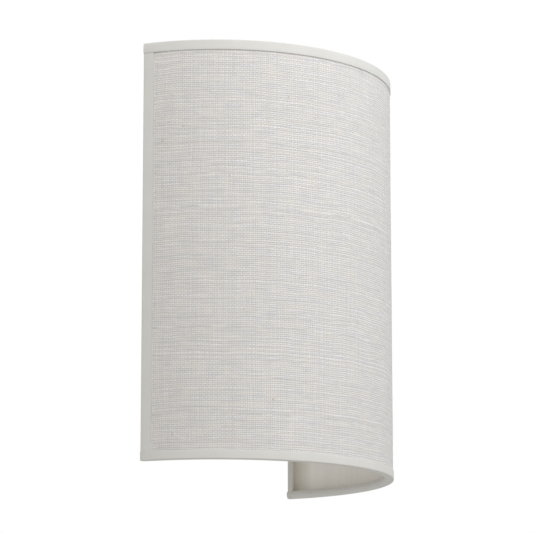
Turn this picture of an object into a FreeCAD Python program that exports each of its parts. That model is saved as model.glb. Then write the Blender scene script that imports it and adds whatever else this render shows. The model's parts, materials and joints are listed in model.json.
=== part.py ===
import FreeCAD, Part
import math
import os

from FreeCAD import Vector

# Half-round fabric wall light: a linen half cylinder that hangs on a pressed wall plate,
# over an upright lampholder and its bulb.
#
# Millimetres.  +Z is up, the wall is the plane Y = 0 and the room lies towards -Y.
# The origin is the middle of the wall plate's back face, at half the shade's height.

# ---------------------------------------------------------------- shade
SHADE_HEIGHT = 280.0
SHADE_RADIUS = 120.0        # over the trim tape; half the width, and the whole depth
WALL_GAP = 0.3              # from the wall to the shade's back edges
TAPE_THICKNESS = 0.5
CLOTH_THICKNESS = 0.8
LINER_THICKNESS = 0.5
FRAME_WIRE = 3.5            # diameter of the rings and uprights inside the taped edges
TOP_TAPE_WIDTH = 6.9        # as seen on the outside
BOTTOM_TAPE_WIDTH = 6.1
SIDE_TAPE_WIDTH = 7.7
TAPE_FOLD_ROUND = 1.0       # outside rounding where the tape turns over an edge

# ---------------------------------------------------------------- hanging bar of the shade
BAR_THICKNESS = 1.5
BAR_HEIGHT = 14.0
NOTCH_DEPTH = 3.0           # the bar straddles each hook with a notch
NOTCH_SIDE_CLEARANCE = 0.5
BAR_SLIT_CLEARANCE = 0.2    # round the bar, where it passes through the side tapes

# ---------------------------------------------------------------- wall plate and its hooks
PLATE_WIDTH = 110.0
PLATE_HEIGHT = 150.0
PLATE_CORNER = 8.0
SHEET = 2.0                 # steel of the plate and of the bracket
BEND_INSIDE = 1.0
SLOT_SPACING = 70.0
SLOT_WIDTH = 5.0
SLOT_LENGTH = 12.0
HOOK_SPACING = 70.0
HOOK_WIDTH = 14.0
HOOK_LIP = 12.0             # how far a hook's lip stands above the bar's seat

# ---------------------------------------------------------------- cable entry
CABLE_BORE = 9.0
CABLE_ENTRY_Z = 52.0
GROMMET_NECK_WALL = 2.0
GROMMET_FLANGE_WIDTH = 2.2
GROMMET_FLANGE_HEIGHT = 2.5
GROMMET_INSET = 0.2         # the neck stays this far inside the plate's back face

# ---------------------------------------------------------------- terminal block, three poles
POLE_PITCH = 12.0
POLE_WIDTH = 7.0
BLOCK_LENGTH = 17.0         # along Z, the way the wires run
BLOCK_BASE_DEPTH = 9.5
TURRET_RADIUS = 3.3
TURRET_HEIGHT = 4.0
BLOCK_MIDDLE_Z = 20.0
WIRE_AXIS_OFF_PLATE = 5.2
BARREL_RADIUS = 2.6
BARREL_BORE = 2.9
BARREL_END_WALL = 1.5
TERMINAL_SCREW_SPACING = 8.0
M2_5 = 2.5
M3 = 3.0
M4 = 4.0
SLOT_HALF = 0.3             # half the width of a headless screw's slot
SLOT_DEPTH_IN_SCREW = 0.8
CROSS_SLOT_WIDTH = 0.7      # of a domed screw's cross
THREAD_CLEARANCE = 0.05     # radial, between a screw and what it is screwed into
HOLE_CLEARANCE = 0.15       # radial, between a screw and the sheet that it passes through

# ---------------------------------------------------------------- earth point
EARTH_X = -36.0
EARTH_Z = -30.0
EARTH_WASHER_THICKNESS = 0.8
EARTH_WASHER_RADIUS = 4.6
RING_TERMINAL_THICKNESS = 0.8
RING_TERMINAL_RADIUS = 4.0
CRIMP_LENGTH = 5.5
CRIMP_WALL = 0.5
CRIMP_REACH = 5.5           # from the screw's axis to the crimp's near end

# ---------------------------------------------------------------- lampholder bracket
HOLDER_REACH = 60.0         # from the wall to the bulb's axis
HOLDER_SEAT_Z = -62.0       # top face of the bracket's arm
BRACKET_WIDTH = 26.0
BRACKET_LEG = 34.0
BRACKET_SCREW_SPACING = 16.0
BRACKET_SCREW_Z = -44.0
CSK_HEAD_RADIUS = 2.75
CSK_HEAD_DEPTH = 1.7
M3_NUT_ACROSS_FLATS = 5.5
M3_NUT_THICKNESS = 2.4
SCREW_END = 0.8             # thread that shows past a nut

# ---------------------------------------------------------------- threaded nipple, nut, washer
NIPPLE_RADIUS = 5.0
NIPPLE_BORE = 8.0
NIPPLE_NUT_ACROSS_FLATS = 14.0
NIPPLE_NUT_THICKNESS = 2.5
NIPPLE_END = 3.5
TOOTHED_WASHER_RADIUS = 9.0
TOOTHED_WASHER_THICKNESS = 0.8
WASHER_TEETH = 12
WASHER_NOTCH = 1.4

# ---------------------------------------------------------------- lampholder
CAP_HEIGHT = 20.0
CAP_NECK_RADIUS = 9.0
CAP_RADIUS = 18.2
CAP_WALL = 2.0
CAP_BOSS_HEIGHT = 6.0
CAP_FLUTES = 24
FLUTE_RADIUS = 1.3
FLUTE_OUTSIDE = 0.8         # from the cap's side out to a flute's centre
FLUTE_MARGIN = 1.0          # plain band left above the flutes
CORE_LEDGE = 1.7
CORE_LEDGE_BELOW_JOINT = 3.0
CONTACT_ROOM = 3.5          # from the core up to the bulb's end contact, for the sprung tongue
BODY_RADIUS = 19.5
BODY_WALL = 2.2
BODY_FLANGE = 1.0
BODY_FLANGE_HEIGHT = 2.5
MOUTH_LIP_THICKNESS = 2.0
CORE_THICKNESS = 8.0
CORE_CLEARANCE = 0.1
SHELL_WALL = 0.5
SHELL_CLEARANCE = 0.4       # radial, round the bulb's cap
SHELL_FLANGE_WIDTH = 3.0
CONTACT_STRIP = 0.5
CONTACT_WIDTH = 6.0
HOLDER_TERMINAL_X = 4.5
HOLDER_TERMINAL_WIDTH = 6.0
HOLDER_TERMINAL_LENGTH = 7.0
HOLDER_TERMINAL_HEIGHT = 5.5
STUD_RADIUS = 1.2
CONTACT_FOOT = 1.5          # strip that lies past a stud
CONTACT_BEND = 0.8          # from a stud to where the sprung tongue turns up
LEAD_IN_HOLDER = 3.5        # how far a lead reaches into a holder terminal
LEAD_HOLE_ROOF = 1.0        # metal above the end of that hole

# ---------------------------------------------------------------- bulb
BULB_CAP_RADIUS = 13.1
BULB_CAP_HEIGHT = 27.0      # from the end contact to the cap's top
BULB_CAP_WALL = 0.5
BULB_CAP_SHOWS = 1.5        # how far the cap's top stands above the holder's mouth
BUTTON_RADIUS = 4.2
BUTTON_HEIGHT = 1.2
INSULATOR_HEIGHT = 4.8
INSULATOR_LOW_RADIUS = 5.2
INSULATOR_RADIUS = 10.8
TURNING_CLEARANCE = 0.3
BULB_RADIUS = 30.0
BULB_LENGTH = 106.0
HOUSING_WALL = 1.6
HOUSING_BELOW_GLOBE_CENTRE = 9.0
GLOBE_WALL = 1.2
SPIGOT_LENGTH = 8.0
BOARD_THICKNESS = 1.6
DRIVER_WIDTH = 16.0
DRIVER_LENGTH = 34.0
CAPACITOR_DROP = 16.0       # from the driver board's top down to the capacitor's foot
CAPACITOR_LENGTH = 12.0
CAPACITOR_SUNK = 0.4        # how far it is let into the board
COIL_WIDTH = 10.0
COIL_DEPTH = 6.0
COIL_DROP = 19.0            # from the driver board's top down to the coil's top
COIL_HEIGHT = 9.0
LED_SIZE = 3.0
LED_HEIGHT = 0.8
LED_COUNT = 12

# ---------------------------------------------------------------- leads inside the light
LEAD_DIAMETER = 2.2
LEAD_PAST_SCREW = 1.5       # how far a lead's end reaches past its clamp screw
HOLDER_LEAD_DROP = 13.0     # straight run below the terminal block
EARTH_LEAD_DROP = 6.0
LEAD_BESIDE_BRACKET = 5.0   # from the bracket's edge to a lead's line
LEAD_BELOW_NIPPLE = 12.0    # room to turn up into the nipple
CRIMP_STRAIGHT = 9.0        # straight run out of the crimp
ARC_SHARE = 0.45            # of the shorter run that an arc takes up

# ---------------------------------------------------------------- worked out from the sizes
TOP = SHADE_HEIGHT / 2
PANEL_DEPTH = TAPE_THICKNESS + CLOTH_THICKNESS + LINER_THICKNESS
FOLD_RADIUS = FRAME_WIRE / 2 + TAPE_THICKNESS      # of the tape round a frame wire
WIRE_DEPTH = PANEL_DEPTH + FRAME_WIRE / 2          # wire's centre, in from the outside
RING_RADIUS = SHADE_RADIUS - WIRE_DEPTH
RING_Z = TOP - FOLD_RADIUS
UPRIGHT_Y = -(WALL_GAP + FOLD_RADIUS)
UPRIGHT_X = math.sqrt(RING_RADIUS ** 2 - UPRIGHT_Y ** 2)
PANEL_BACK = -(WALL_GAP + TAPE_THICKNESS)
LEG_EDGE_Y = -(WALL_GAP + SIDE_TAPE_WIDTH)         # edge of the side tape on the outside
LEG_TURN_Y = -(WALL_GAP + TAPE_FOLD_ROUND)

BEND_OUTSIDE = BEND_INSIDE + SHEET
BAR_BACK = -(SHEET + BEND_INSIDE)                  # the bar clears the hook's bends
BAR_FRONT = BAR_BACK - BAR_THICKNESS
HOOK_LIP_BACK = BAR_FRONT - BEND_INSIDE
HOOK_LIP_FRONT = HOOK_LIP_BACK - SHEET
BAR_SEAT_Z = PLATE_HEIGHT / 2                      # top face of the hooks' webs
BAR_BOTTOM = BAR_SEAT_Z - NOTCH_DEPTH

BLOCK_FRONT = -(SHEET + BLOCK_BASE_DEPTH)
WIRE_Y = -(SHEET + WIRE_AXIS_OFF_PLATE)
BLOCK_BOTTOM = BLOCK_MIDDLE_Z - BLOCK_LENGTH / 2
POLES_X = [-POLE_PITCH, 0.0, POLE_PITCH]
EARTH_POLE, LIVE_POLE, NEUTRAL_POLE = POLES_X

BRACKET_FRONT = -2 * SHEET
CAP_BOTTOM = HOLDER_SEAT_Z + TOOTHED_WASHER_THICKNESS
CAP_JOINT = CAP_BOTTOM + CAP_HEIGHT
CORE_BOTTOM = CAP_JOINT - CORE_LEDGE_BELOW_JOINT
CORE_TOP = CORE_BOTTOM + CORE_THICKNESS
CONTACT_TOP = CORE_TOP + CONTACT_ROOM
BULB_CAP_TOP = CONTACT_TOP + BULB_CAP_HEIGHT
MOUTH_Z = BULB_CAP_TOP - BULB_CAP_SHOWS
BODY_HEIGHT = MOUTH_Z - CAP_JOINT
CORE_RADIUS = CAP_RADIUS - CAP_WALL - CORE_CLEARANCE
SHELL_BORE_RADIUS = BULB_CAP_RADIUS + SHELL_CLEARANCE
SHELL_RADIUS = SHELL_BORE_RADIUS + SHELL_WALL
SHELL_HOLE_RADIUS = SHELL_RADIUS - SHELL_FLANGE_WIDTH
GLOBE_CENTRE_Z = CONTACT_TOP + BULB_LENGTH - BULB_RADIUS
HOUSING_TOP = GLOBE_CENTRE_Z - HOUSING_BELOW_GLOBE_CENTRE
HOUSING_TOP_RADIUS = math.sqrt(BULB_RADIUS ** 2 - HOUSING_BELOW_GLOBE_CENTRE ** 2)
TERMINAL_BOTTOM = CORE_BOTTOM - HOLDER_TERMINAL_HEIGHT

BULB_AXIS = Vector(0, -HOLDER_REACH, 0)
UP = Vector(0, 0, 1)
ALONG_X = Vector(1, 0, 0)
TO_ROOM = Vector(0, -1, 0)
FAR = 4 * (SHADE_HEIGHT + SHADE_RADIUS)            # larger than anything that is cut


# ---------------------------------------------------------------- helpers
def block(x, y, z):
    """A box between two limits along each axis, given in any order."""
    low = Vector(min(x), min(y), min(z))
    return Part.makeBox(abs(x[1] - x[0]), abs(y[1] - y[0]), abs(z[1] - z[0]), low)


def rod(radius, start, direction, length):
    return Part.makeCylinder(radius, length, start, direction)


def pipe(radius, bore_radius, start, direction, length):
    return rod(radius, start, direction, length).cut(rod(bore_radius, start, direction, length))


def closed_face(place, start, *steps):
    """A face from its outline: a step is a point, or a pair of points for an arc."""
    edges = []
    here = place(*start)
    for step in steps + (start,):
        if isinstance(step[0], tuple):
            there = place(*step[1])
            edges.append(Part.Arc(here, place(*step[0]), there).toShape())
        else:
            there = place(*step)
            if there.distanceToPoint(here) > 1e-6:
                edges.append(Part.LineSegment(here, there).toShape())
        here = there
    return Part.Face(Part.Wire(edges))


def turned(place_z, *outline):
    """A solid of revolution about the bulb's axis, from (radius, height) points."""
    face = closed_face(lambda r, z: Vector(r, -HOLDER_REACH, place_z + z), *outline)
    return face.revolve(BULB_AXIS, UP, 360)


def corner(centre, radius, degrees):
    """A point of a circle in an outline."""
    angle = math.radians(degrees)
    return centre[0] + radius * math.cos(angle), centre[1] + radius * math.sin(angle)


def hexagon(across_flats, start, direction, length, bore_radius):
    """A hexagon nut: its outline, bored through."""
    radius = across_flats / 2 / math.cos(math.pi / 6)
    side = ALONG_X
    other = direction.cross(side)
    points = []
    for index in range(7):
        angle = index * math.pi / 3
        points.append(start + side * (radius * math.cos(angle)) + other * (radius * math.sin(angle)))
    prism = Part.Face(Part.makePolygon(points)).extrude(direction * length)
    return prism.cut(rod(bore_radius, start, direction, length))


def pan_screw(radius, start, inward, length):
    """A domed screw whose head sits on start; its shank runs inward."""
    head_radius = 1.9 * radius
    head_height = 1.1 * radius
    outward = inward * -1
    head = rod(head_radius, start, outward, head_height)
    rim = [e for e in head.Edges if abs((e.CenterOfMass - start).dot(outward) - head_height) < 1e-3]
    head = head.makeFillet(0.45 * head_height, rim)
    side = outward.cross(ALONG_X)
    slots = []
    for along, across in ((ALONG_X, side), (side, ALONG_X)):
        slot = Part.makePolygon([
            start + along * sx * head_radius * 0.62
            + across * sy * CROSS_SLOT_WIDTH / 2 + outward * head_height
            for sx, sy in ((-1, -1), (1, -1), (1, 1), (-1, 1), (-1, -1))
        ])
        slots.append(Part.Face(slot).extrude(inward * (0.5 * head_height)))
    shank = rod(radius, start, inward, length)
    return head.fuse(shank).cut(slots).removeSplitter()


def in_front_of(shape, y):
    """What of a shape lies on the room's side of the plane Y = y."""
    return shape.common(block((-FAR, FAR), (-FAR, y), (-FAR, FAR)))


def merged(first, *others):
    return first.fuse(list(others)).removeSplitter()


# ---------------------------------------------------------------- shade: section of a taped edge
def tape_outline(width):
    """Outside of a taped edge as (depth from the outside, distance from the edge)."""
    fold = TAPE_FOLD_ROUND
    round_middle = corner((fold, fold), fold, 225)
    return (
        (0, width),
        (0, fold),
        (round_middle, (fold, 0)),
        (WIRE_DEPTH, 0),
        ((WIRE_DEPTH + FOLD_RADIUS, FOLD_RADIUS), (WIRE_DEPTH, 2 * FOLD_RADIUS)),
        (TAPE_THICKNESS, 2 * FOLD_RADIUS),
        (TAPE_THICKNESS, width),
    )


def tape_filling(reach):
    """What the tape is folded round: the edge of cloth and liner, and the frame wire."""
    wire_end = TAPE_THICKNESS + FRAME_WIRE
    return (
        (TAPE_THICKNESS, TAPE_THICKNESS),
        (WIRE_DEPTH, TAPE_THICKNESS),
        ((WIRE_DEPTH + FRAME_WIRE / 2, FOLD_RADIUS), (WIRE_DEPTH, wire_end)),
        (PANEL_DEPTH, wire_end),
        (PANEL_DEPTH, reach),
        (TAPE_THICKNESS, reach),
    )


def round_the_rim(end, outline, back):
    """Sweeps a section round the half circle, at the top (end = 1) or bottom (end = -1)."""
    face = closed_face(
        lambda depth, distance: Vector(depth - SHADE_RADIUS, 0, end * (TOP - distance)), *outline
    )
    return in_front_of(face.revolve(Vector(0, 0, 0), UP, 180), back)


def half_tube(radius, inner_radius, back, front=-FAR):
    tube = pipe(radius, inner_radius, Vector(0, 0, -TOP), UP, SHADE_HEIGHT)
    return tube.common(block((-FAR, FAR), (front, back), (-FAR, FAR)))


def rim_envelope(end, width):
    return round_the_rim(end, tape_outline(width), -WALL_GAP)


def rim_filling(end):
    return round_the_rim(end, tape_filling(TOP), PANEL_BACK)


def on_circle(radius, y):
    """The place in plan, towards +X, where a circle about the origin meets a given Y."""
    return math.sqrt(radius ** 2 - y ** 2), y


def along_circle(radius, start_y, end_y):
    """An arc step of such a circle, up to a given Y."""
    return on_circle(radius, (start_y + end_y) / 2), on_circle(radius, end_y)


def leg_outline(inner):
    """Plan of the side tape's outer leg, from its edge to where it starts to turn."""
    return (
        on_circle(inner, LEG_EDGE_Y),
        on_circle(SHADE_RADIUS, LEG_EDGE_Y),
        along_circle(SHADE_RADIUS, LEG_EDGE_Y, LEG_TURN_Y),
    )


def wrap_outline():
    """Plan of the side tape from its turn, over the back edge and round the upright."""
    liner = SHADE_RADIUS - PANEL_DEPTH
    front_y = UPRIGHT_Y - FOLD_RADIUS
    tuck_y = front_y + TAPE_THICKNESS
    return (
        (UPRIGHT_X, -WALL_GAP),
        ((UPRIGHT_X - FOLD_RADIUS, UPRIGHT_Y), (UPRIGHT_X, front_y)),
        on_circle(liner, front_y),
        on_circle(liner, tuck_y),
        (UPRIGHT_X, tuck_y),
        ((UPRIGHT_X - FRAME_WIRE / 2, UPRIGHT_Y), (UPRIGHT_X, PANEL_BACK)),
        on_circle(SHADE_RADIUS - TAPE_THICKNESS, PANEL_BACK),
    )


def side_strip(side, low, high, *outline):
    """A plan outline along one back edge, raised between two heights."""
    face = closed_face(lambda x, y: Vector(side * x, y, low), *outline)
    return face.extrude(UP * (high - low))


def panel(outer_depth, thickness):
    """A half cylinder of cloth or liner, as tall as the taped edges let it be."""
    shell = half_tube(
        SHADE_RADIUS - outer_depth, SHADE_RADIUS - outer_depth - thickness, PANEL_BACK
    )
    height = TOP - TAPE_THICKNESS
    return shell.common(block((-FAR, FAR), (-FAR, FAR), (-height, height)))


# ---------------------------------------------------------------- shade: pieces
def shade_fabric():
    return panel(TAPE_THICKNESS, CLOTH_THICKNESS)


def shade_liner():
    return panel(TAPE_THICKNESS + CLOTH_THICKNESS, LINER_THICKNESS)


def frame_ring(end):
    ring = Part.makeTorus(RING_RADIUS, FRAME_WIRE / 2, Vector(0, 0, end * RING_Z))
    return in_front_of(ring, PANEL_BACK)


def frame_upright(side, rings):
    start = Vector(side * UPRIGHT_X, UPRIGHT_Y, -RING_Z)
    return rod(FRAME_WIRE / 2, start, UP, 2 * RING_Z).cut(rings)


def hanging_bar(uprights):
    """A flat bar between the uprights, notched where it sits down over the hooks."""
    bar = block((-UPRIGHT_X, UPRIGHT_X), (BAR_BACK, BAR_FRONT), (BAR_BOTTOM, BAR_BOTTOM + BAR_HEIGHT))
    half_notch = HOOK_WIDTH / 2 + NOTCH_SIDE_CLEARANCE
    notches = []
    for middle in (-HOOK_SPACING / 2, HOOK_SPACING / 2):
        across = (middle - half_notch, middle + half_notch)
        notches.append(block(across, (-FAR, FAR), (BAR_BOTTOM, BAR_SEAT_Z)))
    return bar.cut(notches + uprights)


def bar_slit():
    gap = BAR_SLIT_CLEARANCE
    return block(
        (-UPRIGHT_X, UPRIGHT_X),
        (BAR_BACK + gap, BAR_FRONT - gap),
        (BAR_BOTTOM - gap, BAR_BOTTOM + BAR_HEIGHT + gap),
    )


def top_tape():
    """The top tape lies over the upper ends of the side tapes."""
    return rim_tape(1, TOP_TAPE_WIDTH)


def rim_tape(end, width):
    """A tape round one rim; its inner fold stops where the side tapes' folds cross it."""
    crossing = half_tube(SHADE_RADIUS - PANEL_DEPTH, 1, 0, UPRIGHT_Y - FOLD_RADIUS)
    return rim_envelope(end, width).cut([rim_filling(end), crossing])


def bottom_tape():
    """The bottom tape's ends run under the outer legs of the side tapes."""
    under_legs = half_tube(SHADE_RADIUS + 1, SHADE_RADIUS - TAPE_THICKNESS, LEG_TURN_Y, LEG_EDGE_Y)
    above_fold = block((-FAR, FAR), (0, LEG_EDGE_Y), (2 * FOLD_RADIUS - TOP, 0))
    return rim_tape(-1, BOTTOM_TAPE_WIDTH).cut([under_legs, above_fold])


def side_tape(side):
    """Its outer leg reaches the bottom edge, and the rest stops at the folds of the rim tapes."""
    inner = SHADE_RADIUS - TAPE_THICKNESS
    leg = leg_outline(inner)
    wrap = wrap_outline()
    fold_x = on_circle(SHADE_RADIUS, LEG_TURN_Y)[0] - TAPE_FOLD_ROUND
    turn = (corner((fold_x, LEG_TURN_Y), TAPE_FOLD_ROUND, 45), (fold_x, -WALL_GAP))
    close_leg = along_circle(inner, LEG_TURN_Y, LEG_EDGE_Y)
    close_whole = along_circle(inner, PANEL_BACK, LEG_EDGE_Y)
    low, high, fold = -TOP, TOP, 2 * FOLD_RADIUS
    parts = [
        side_strip(side, low, low + fold, *leg, on_circle(inner, LEG_TURN_Y), close_leg),
        side_strip(side, low + fold, high - TOP_TAPE_WIDTH, *leg, turn, *wrap, close_whole),
        side_strip(side, high - TOP_TAPE_WIDTH, high - fold, on_circle(inner, -WALL_GAP), *wrap),
    ]
    return merged(*parts).cut(bar_slit())


# ---------------------------------------------------------------- wall plate
def slot_cutter(x, z):
    """A slot through the plate, lying along X."""
    half = (SLOT_LENGTH - SLOT_WIDTH) / 2
    radius = SLOT_WIDTH / 2
    ends = [rod(radius, Vector(x + s * half, 0, z), TO_ROOM, SHEET) for s in (-1, 1)]
    return merged(block((x - half, x + half), (0, -SHEET), (z - radius, z + radius)), *ends)


def csk_head(x, z, clearance):
    """The cone of a countersunk head whose face is level with the plate's back."""
    radius = CSK_HEAD_RADIUS + clearance
    return Part.makeCone(
        radius, radius - (CSK_HEAD_RADIUS - M3 / 2), CSK_HEAD_DEPTH, Vector(x, 0, z), TO_ROOM
    )


def bracket_screw_places():
    half = BRACKET_SCREW_SPACING / 2
    return [(-half, BRACKET_SCREW_Z), (half, BRACKET_SCREW_Z)]


def hook(middle_x):
    """A tongue of the plate, bent forward and then up."""
    low = BAR_SEAT_Z - 2 * BEND_OUTSIDE
    web = BAR_SEAT_Z - SHEET
    outer, inner = BEND_OUTSIDE, BEND_INSIDE
    back_centre = (-outer, BAR_SEAT_Z - outer)
    front_centre = (HOOK_LIP_FRONT + outer, web + outer)
    face = closed_face(
        lambda y, z: Vector(middle_x - HOOK_WIDTH / 2, y, z),
        (0, low),
        (0, BAR_SEAT_Z - outer),
        (corner(back_centre, outer, 45), (-outer, BAR_SEAT_Z)),
        (HOOK_LIP_BACK + inner, BAR_SEAT_Z),
        (corner(front_centre, inner, 225), (HOOK_LIP_BACK, BAR_SEAT_Z + inner)),
        (HOOK_LIP_BACK, BAR_SEAT_Z + HOOK_LIP),
        (HOOK_LIP_FRONT, BAR_SEAT_Z + HOOK_LIP),
        (HOOK_LIP_FRONT, web + outer),
        (corner(front_centre, outer, 225), (HOOK_LIP_FRONT + outer, web)),
        (-SHEET - inner, web),
        (corner(back_centre, inner, 45), (-SHEET, web - inner)),
        (-SHEET, low),
    )
    return face.extrude(ALONG_X * HOOK_WIDTH)


def wall_plate():
    half_width, half_height = PLATE_WIDTH / 2, PLATE_HEIGHT / 2
    plate = block((-half_width, half_width), (0, -SHEET), (-half_height, half_height))
    plate = plate.makeFillet(
        PLATE_CORNER, [e for e in plate.Edges if abs(e.BoundBox.YLength - SHEET) < 1e-6]
    )
    hooks_x = (-HOOK_SPACING / 2, HOOK_SPACING / 2)
    relief = BAR_SEAT_Z - BEND_OUTSIDE
    half_hook = HOOK_WIDTH / 2
    holes = [block((x - half_hook, x + half_hook), (0, -SHEET), (relief, BAR_SEAT_Z)) for x in hooks_x]
    holes += [slot_cutter(s * SLOT_SPACING / 2, 0) for s in (-1, 1)]
    holes.append(rod(CABLE_BORE / 2 + GROMMET_NECK_WALL, Vector(0, 0, CABLE_ENTRY_Z), TO_ROOM, SHEET))
    holes.append(rod(M4 / 2 + THREAD_CLEARANCE, Vector(EARTH_X, 0, EARTH_Z), TO_ROOM, SHEET))
    for x in fixing_screws_x():
        holes.append(rod(M2_5 / 2 + THREAD_CLEARANCE, Vector(x, 0, BLOCK_MIDDLE_Z), TO_ROOM, SHEET))
    for x, z in bracket_screw_places():
        holes.append(rod(M3 / 2 + HOLE_CLEARANCE, Vector(x, 0, z), TO_ROOM, SHEET))
        holes.append(csk_head(x, z, THREAD_CLEARANCE))
    return merged(plate.cut(holes), *[hook(x) for x in hooks_x])


def cable_grommet():
    """A rubber bush that lines the plate's cable hole, flanged on the front."""
    bore = CABLE_BORE / 2
    neck = bore + GROMMET_NECK_WALL
    flange = neck + GROMMET_FLANGE_WIDTH
    front = -(SHEET + GROMMET_FLANGE_HEIGHT)
    round_off = GROMMET_FLANGE_HEIGHT / 2
    face = closed_face(
        lambda r, y: Vector(r, y, CABLE_ENTRY_Z),
        (bore, -GROMMET_INSET),
        (neck, -GROMMET_INSET),
        (neck, -SHEET),
        (flange, -SHEET),
        (flange, front + round_off),
        (corner((flange - round_off, front + round_off), round_off, -45), (flange - round_off, front)),
        (bore, front),
    )
    return face.revolve(Vector(0, 0, CABLE_ENTRY_Z), Vector(0, 1, 0), 360)


# ---------------------------------------------------------------- terminal block
def fixing_screws_x():
    return [-POLE_PITCH / 2, POLE_PITCH / 2]


def terminal_screw_places():
    half = TERMINAL_SCREW_SPACING / 2
    return [(x, BLOCK_MIDDLE_Z + s * half) for x in POLES_X for s in (-1, 1)]


def terminal_block():
    """The moulding: three poles, each with two turrets round its screws."""
    front = BLOCK_FRONT
    half = BLOCK_LENGTH / 2
    z = (BLOCK_MIDDLE_Z - half, BLOCK_MIDDLE_Z + half)
    web_z = (BLOCK_MIDDLE_Z - TERMINAL_SCREW_SPACING / 2, BLOCK_MIDDLE_Z + TERMINAL_SCREW_SPACING / 2)
    solids = [block((-POLE_PITCH, POLE_PITCH), (-SHEET, front / 2), web_z)]
    for x in POLES_X:
        pole = block((x - POLE_WIDTH / 2, x + POLE_WIDTH / 2), (-SHEET, front), z)
        edges = [
            e for e in pole.Edges
            if e.BoundBox.ZLength > BLOCK_LENGTH - 1 and e.BoundBox.YMax < -SHEET - 1
        ]
        solids.append(pole.makeFillet(POLE_WIDTH / 5, edges))
    for x, z_screw in terminal_screw_places():
        solids.append(rod(TURRET_RADIUS, Vector(x, WIRE_Y, z_screw), TO_ROOM, WIRE_Y - front + TURRET_HEIGHT))
    body = merged(*solids)
    cuts = []
    for x in POLES_X:
        low = Vector(x, WIRE_Y, BLOCK_BOTTOM)
        cuts.append(rod(BARREL_BORE / 2, low, UP, BLOCK_LENGTH))
        cuts.append(rod(BARREL_RADIUS, low + UP * BARREL_END_WALL, UP, BLOCK_LENGTH - 2 * BARREL_END_WALL))
    for x, z_screw in terminal_screw_places():
        start = Vector(x, WIRE_Y, z_screw)
        cuts.append(rod(M3 / 2 + HOLE_CLEARANCE, start, TO_ROOM, WIRE_Y - front + TURRET_HEIGHT))
    for x in fixing_screws_x():
        start = Vector(x, -SHEET, BLOCK_MIDDLE_Z)
        cuts.append(rod(M2_5 / 2 + HOLE_CLEARANCE, start, TO_ROOM, BLOCK_BASE_DEPTH))
    return body.cut(cuts)


def terminal_barrels():
    barrels = []
    length = BLOCK_LENGTH - 2 * BARREL_END_WALL
    for x in POLES_X:
        low = Vector(x, WIRE_Y, BLOCK_BOTTOM + BARREL_END_WALL)
        barrel = pipe(BARREL_RADIUS, BARREL_BORE / 2, low, UP, length)
        taps = [
            rod(M3 / 2 + THREAD_CLEARANCE, Vector(x, WIRE_Y, z), TO_ROOM, BARREL_RADIUS)
            for x_screw, z in terminal_screw_places() if x_screw == x
        ]
        barrels.append(barrel.cut(taps))
    return Part.makeCompound(barrels)


def terminal_screws():
    """Slotted grub screws that press on the wires inside the barrels."""
    screws = []
    start_y = WIRE_Y - LEAD_DIAMETER / 2
    end_y = BLOCK_FRONT - TURRET_HEIGHT / 2
    for x, z in terminal_screw_places():
        screw = rod(M3 / 2, Vector(x, start_y, z), TO_ROOM, start_y - end_y)
        slot = block((x - FAR, x + FAR), (end_y, end_y + SLOT_DEPTH_IN_SCREW), (z - SLOT_HALF, z + SLOT_HALF))
        screws.append(screw.cut(slot))
    return Part.makeCompound(screws)


def terminal_fixing_screws():
    seat = BLOCK_FRONT / 2
    return Part.makeCompound([
        pan_screw(M2_5 / 2, Vector(x, seat, BLOCK_MIDDLE_Z), Vector(0, 1, 0), -seat - GROMMET_INSET)
        for x in fixing_screws_x()
    ])


# ---------------------------------------------------------------- earth point
def earth_washer():
    return pipe(
        EARTH_WASHER_RADIUS, M4 / 2 + HOLE_CLEARANCE, Vector(EARTH_X, -SHEET, EARTH_Z), TO_ROOM,
        EARTH_WASHER_THICKNESS,
    )


def earth_direction():
    """From the earth screw towards the terminal block's earth pole."""
    return Vector(EARTH_POLE - EARTH_X, 0, BLOCK_BOTTOM - EARTH_Z).normalize()


def crimp_axis_y():
    return -(SHEET + EARTH_WASHER_THICKNESS + LEAD_DIAMETER / 2 + CRIMP_WALL + HOLE_CLEARANCE)


def ring_terminal():
    """A ring under the earth screw, with a crimp on the end of the earth lead."""
    back = -(SHEET + EARTH_WASHER_THICKNESS)
    middle = Vector(EARTH_X, back, EARTH_Z)
    along = earth_direction()
    across = along.cross(TO_ROOM)
    ring = rod(RING_TERMINAL_RADIUS, middle, TO_ROOM, RING_TERMINAL_THICKNESS)
    half = LEAD_DIAMETER / 2 + CRIMP_WALL
    neck_end = CRIMP_REACH + 1
    neck = Part.Face(Part.makePolygon([
        middle + along * a + across * b
        for a, b in ((0, -half), (neck_end, -half), (neck_end, half), (0, half), (0, -half))
    ])).extrude(TO_ROOM * RING_TERMINAL_THICKNESS)
    crimp_start = Vector(EARTH_X, crimp_axis_y(), EARTH_Z) + along * CRIMP_REACH
    crimp = rod(half, crimp_start, along, CRIMP_LENGTH)
    hole = rod(M4 / 2 + HOLE_CLEARANCE, middle, TO_ROOM, RING_TERMINAL_THICKNESS)
    bore = rod(LEAD_DIAMETER / 2, crimp_start, along, CRIMP_LENGTH)
    return merged(ring, neck, crimp).cut([hole, bore])


def earth_screw():
    seat = SHEET + EARTH_WASHER_THICKNESS + RING_TERMINAL_THICKNESS
    return pan_screw(
        M4 / 2, Vector(EARTH_X, -seat, EARTH_Z), Vector(0, 1, 0), seat - GROMMET_INSET
    )


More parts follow.
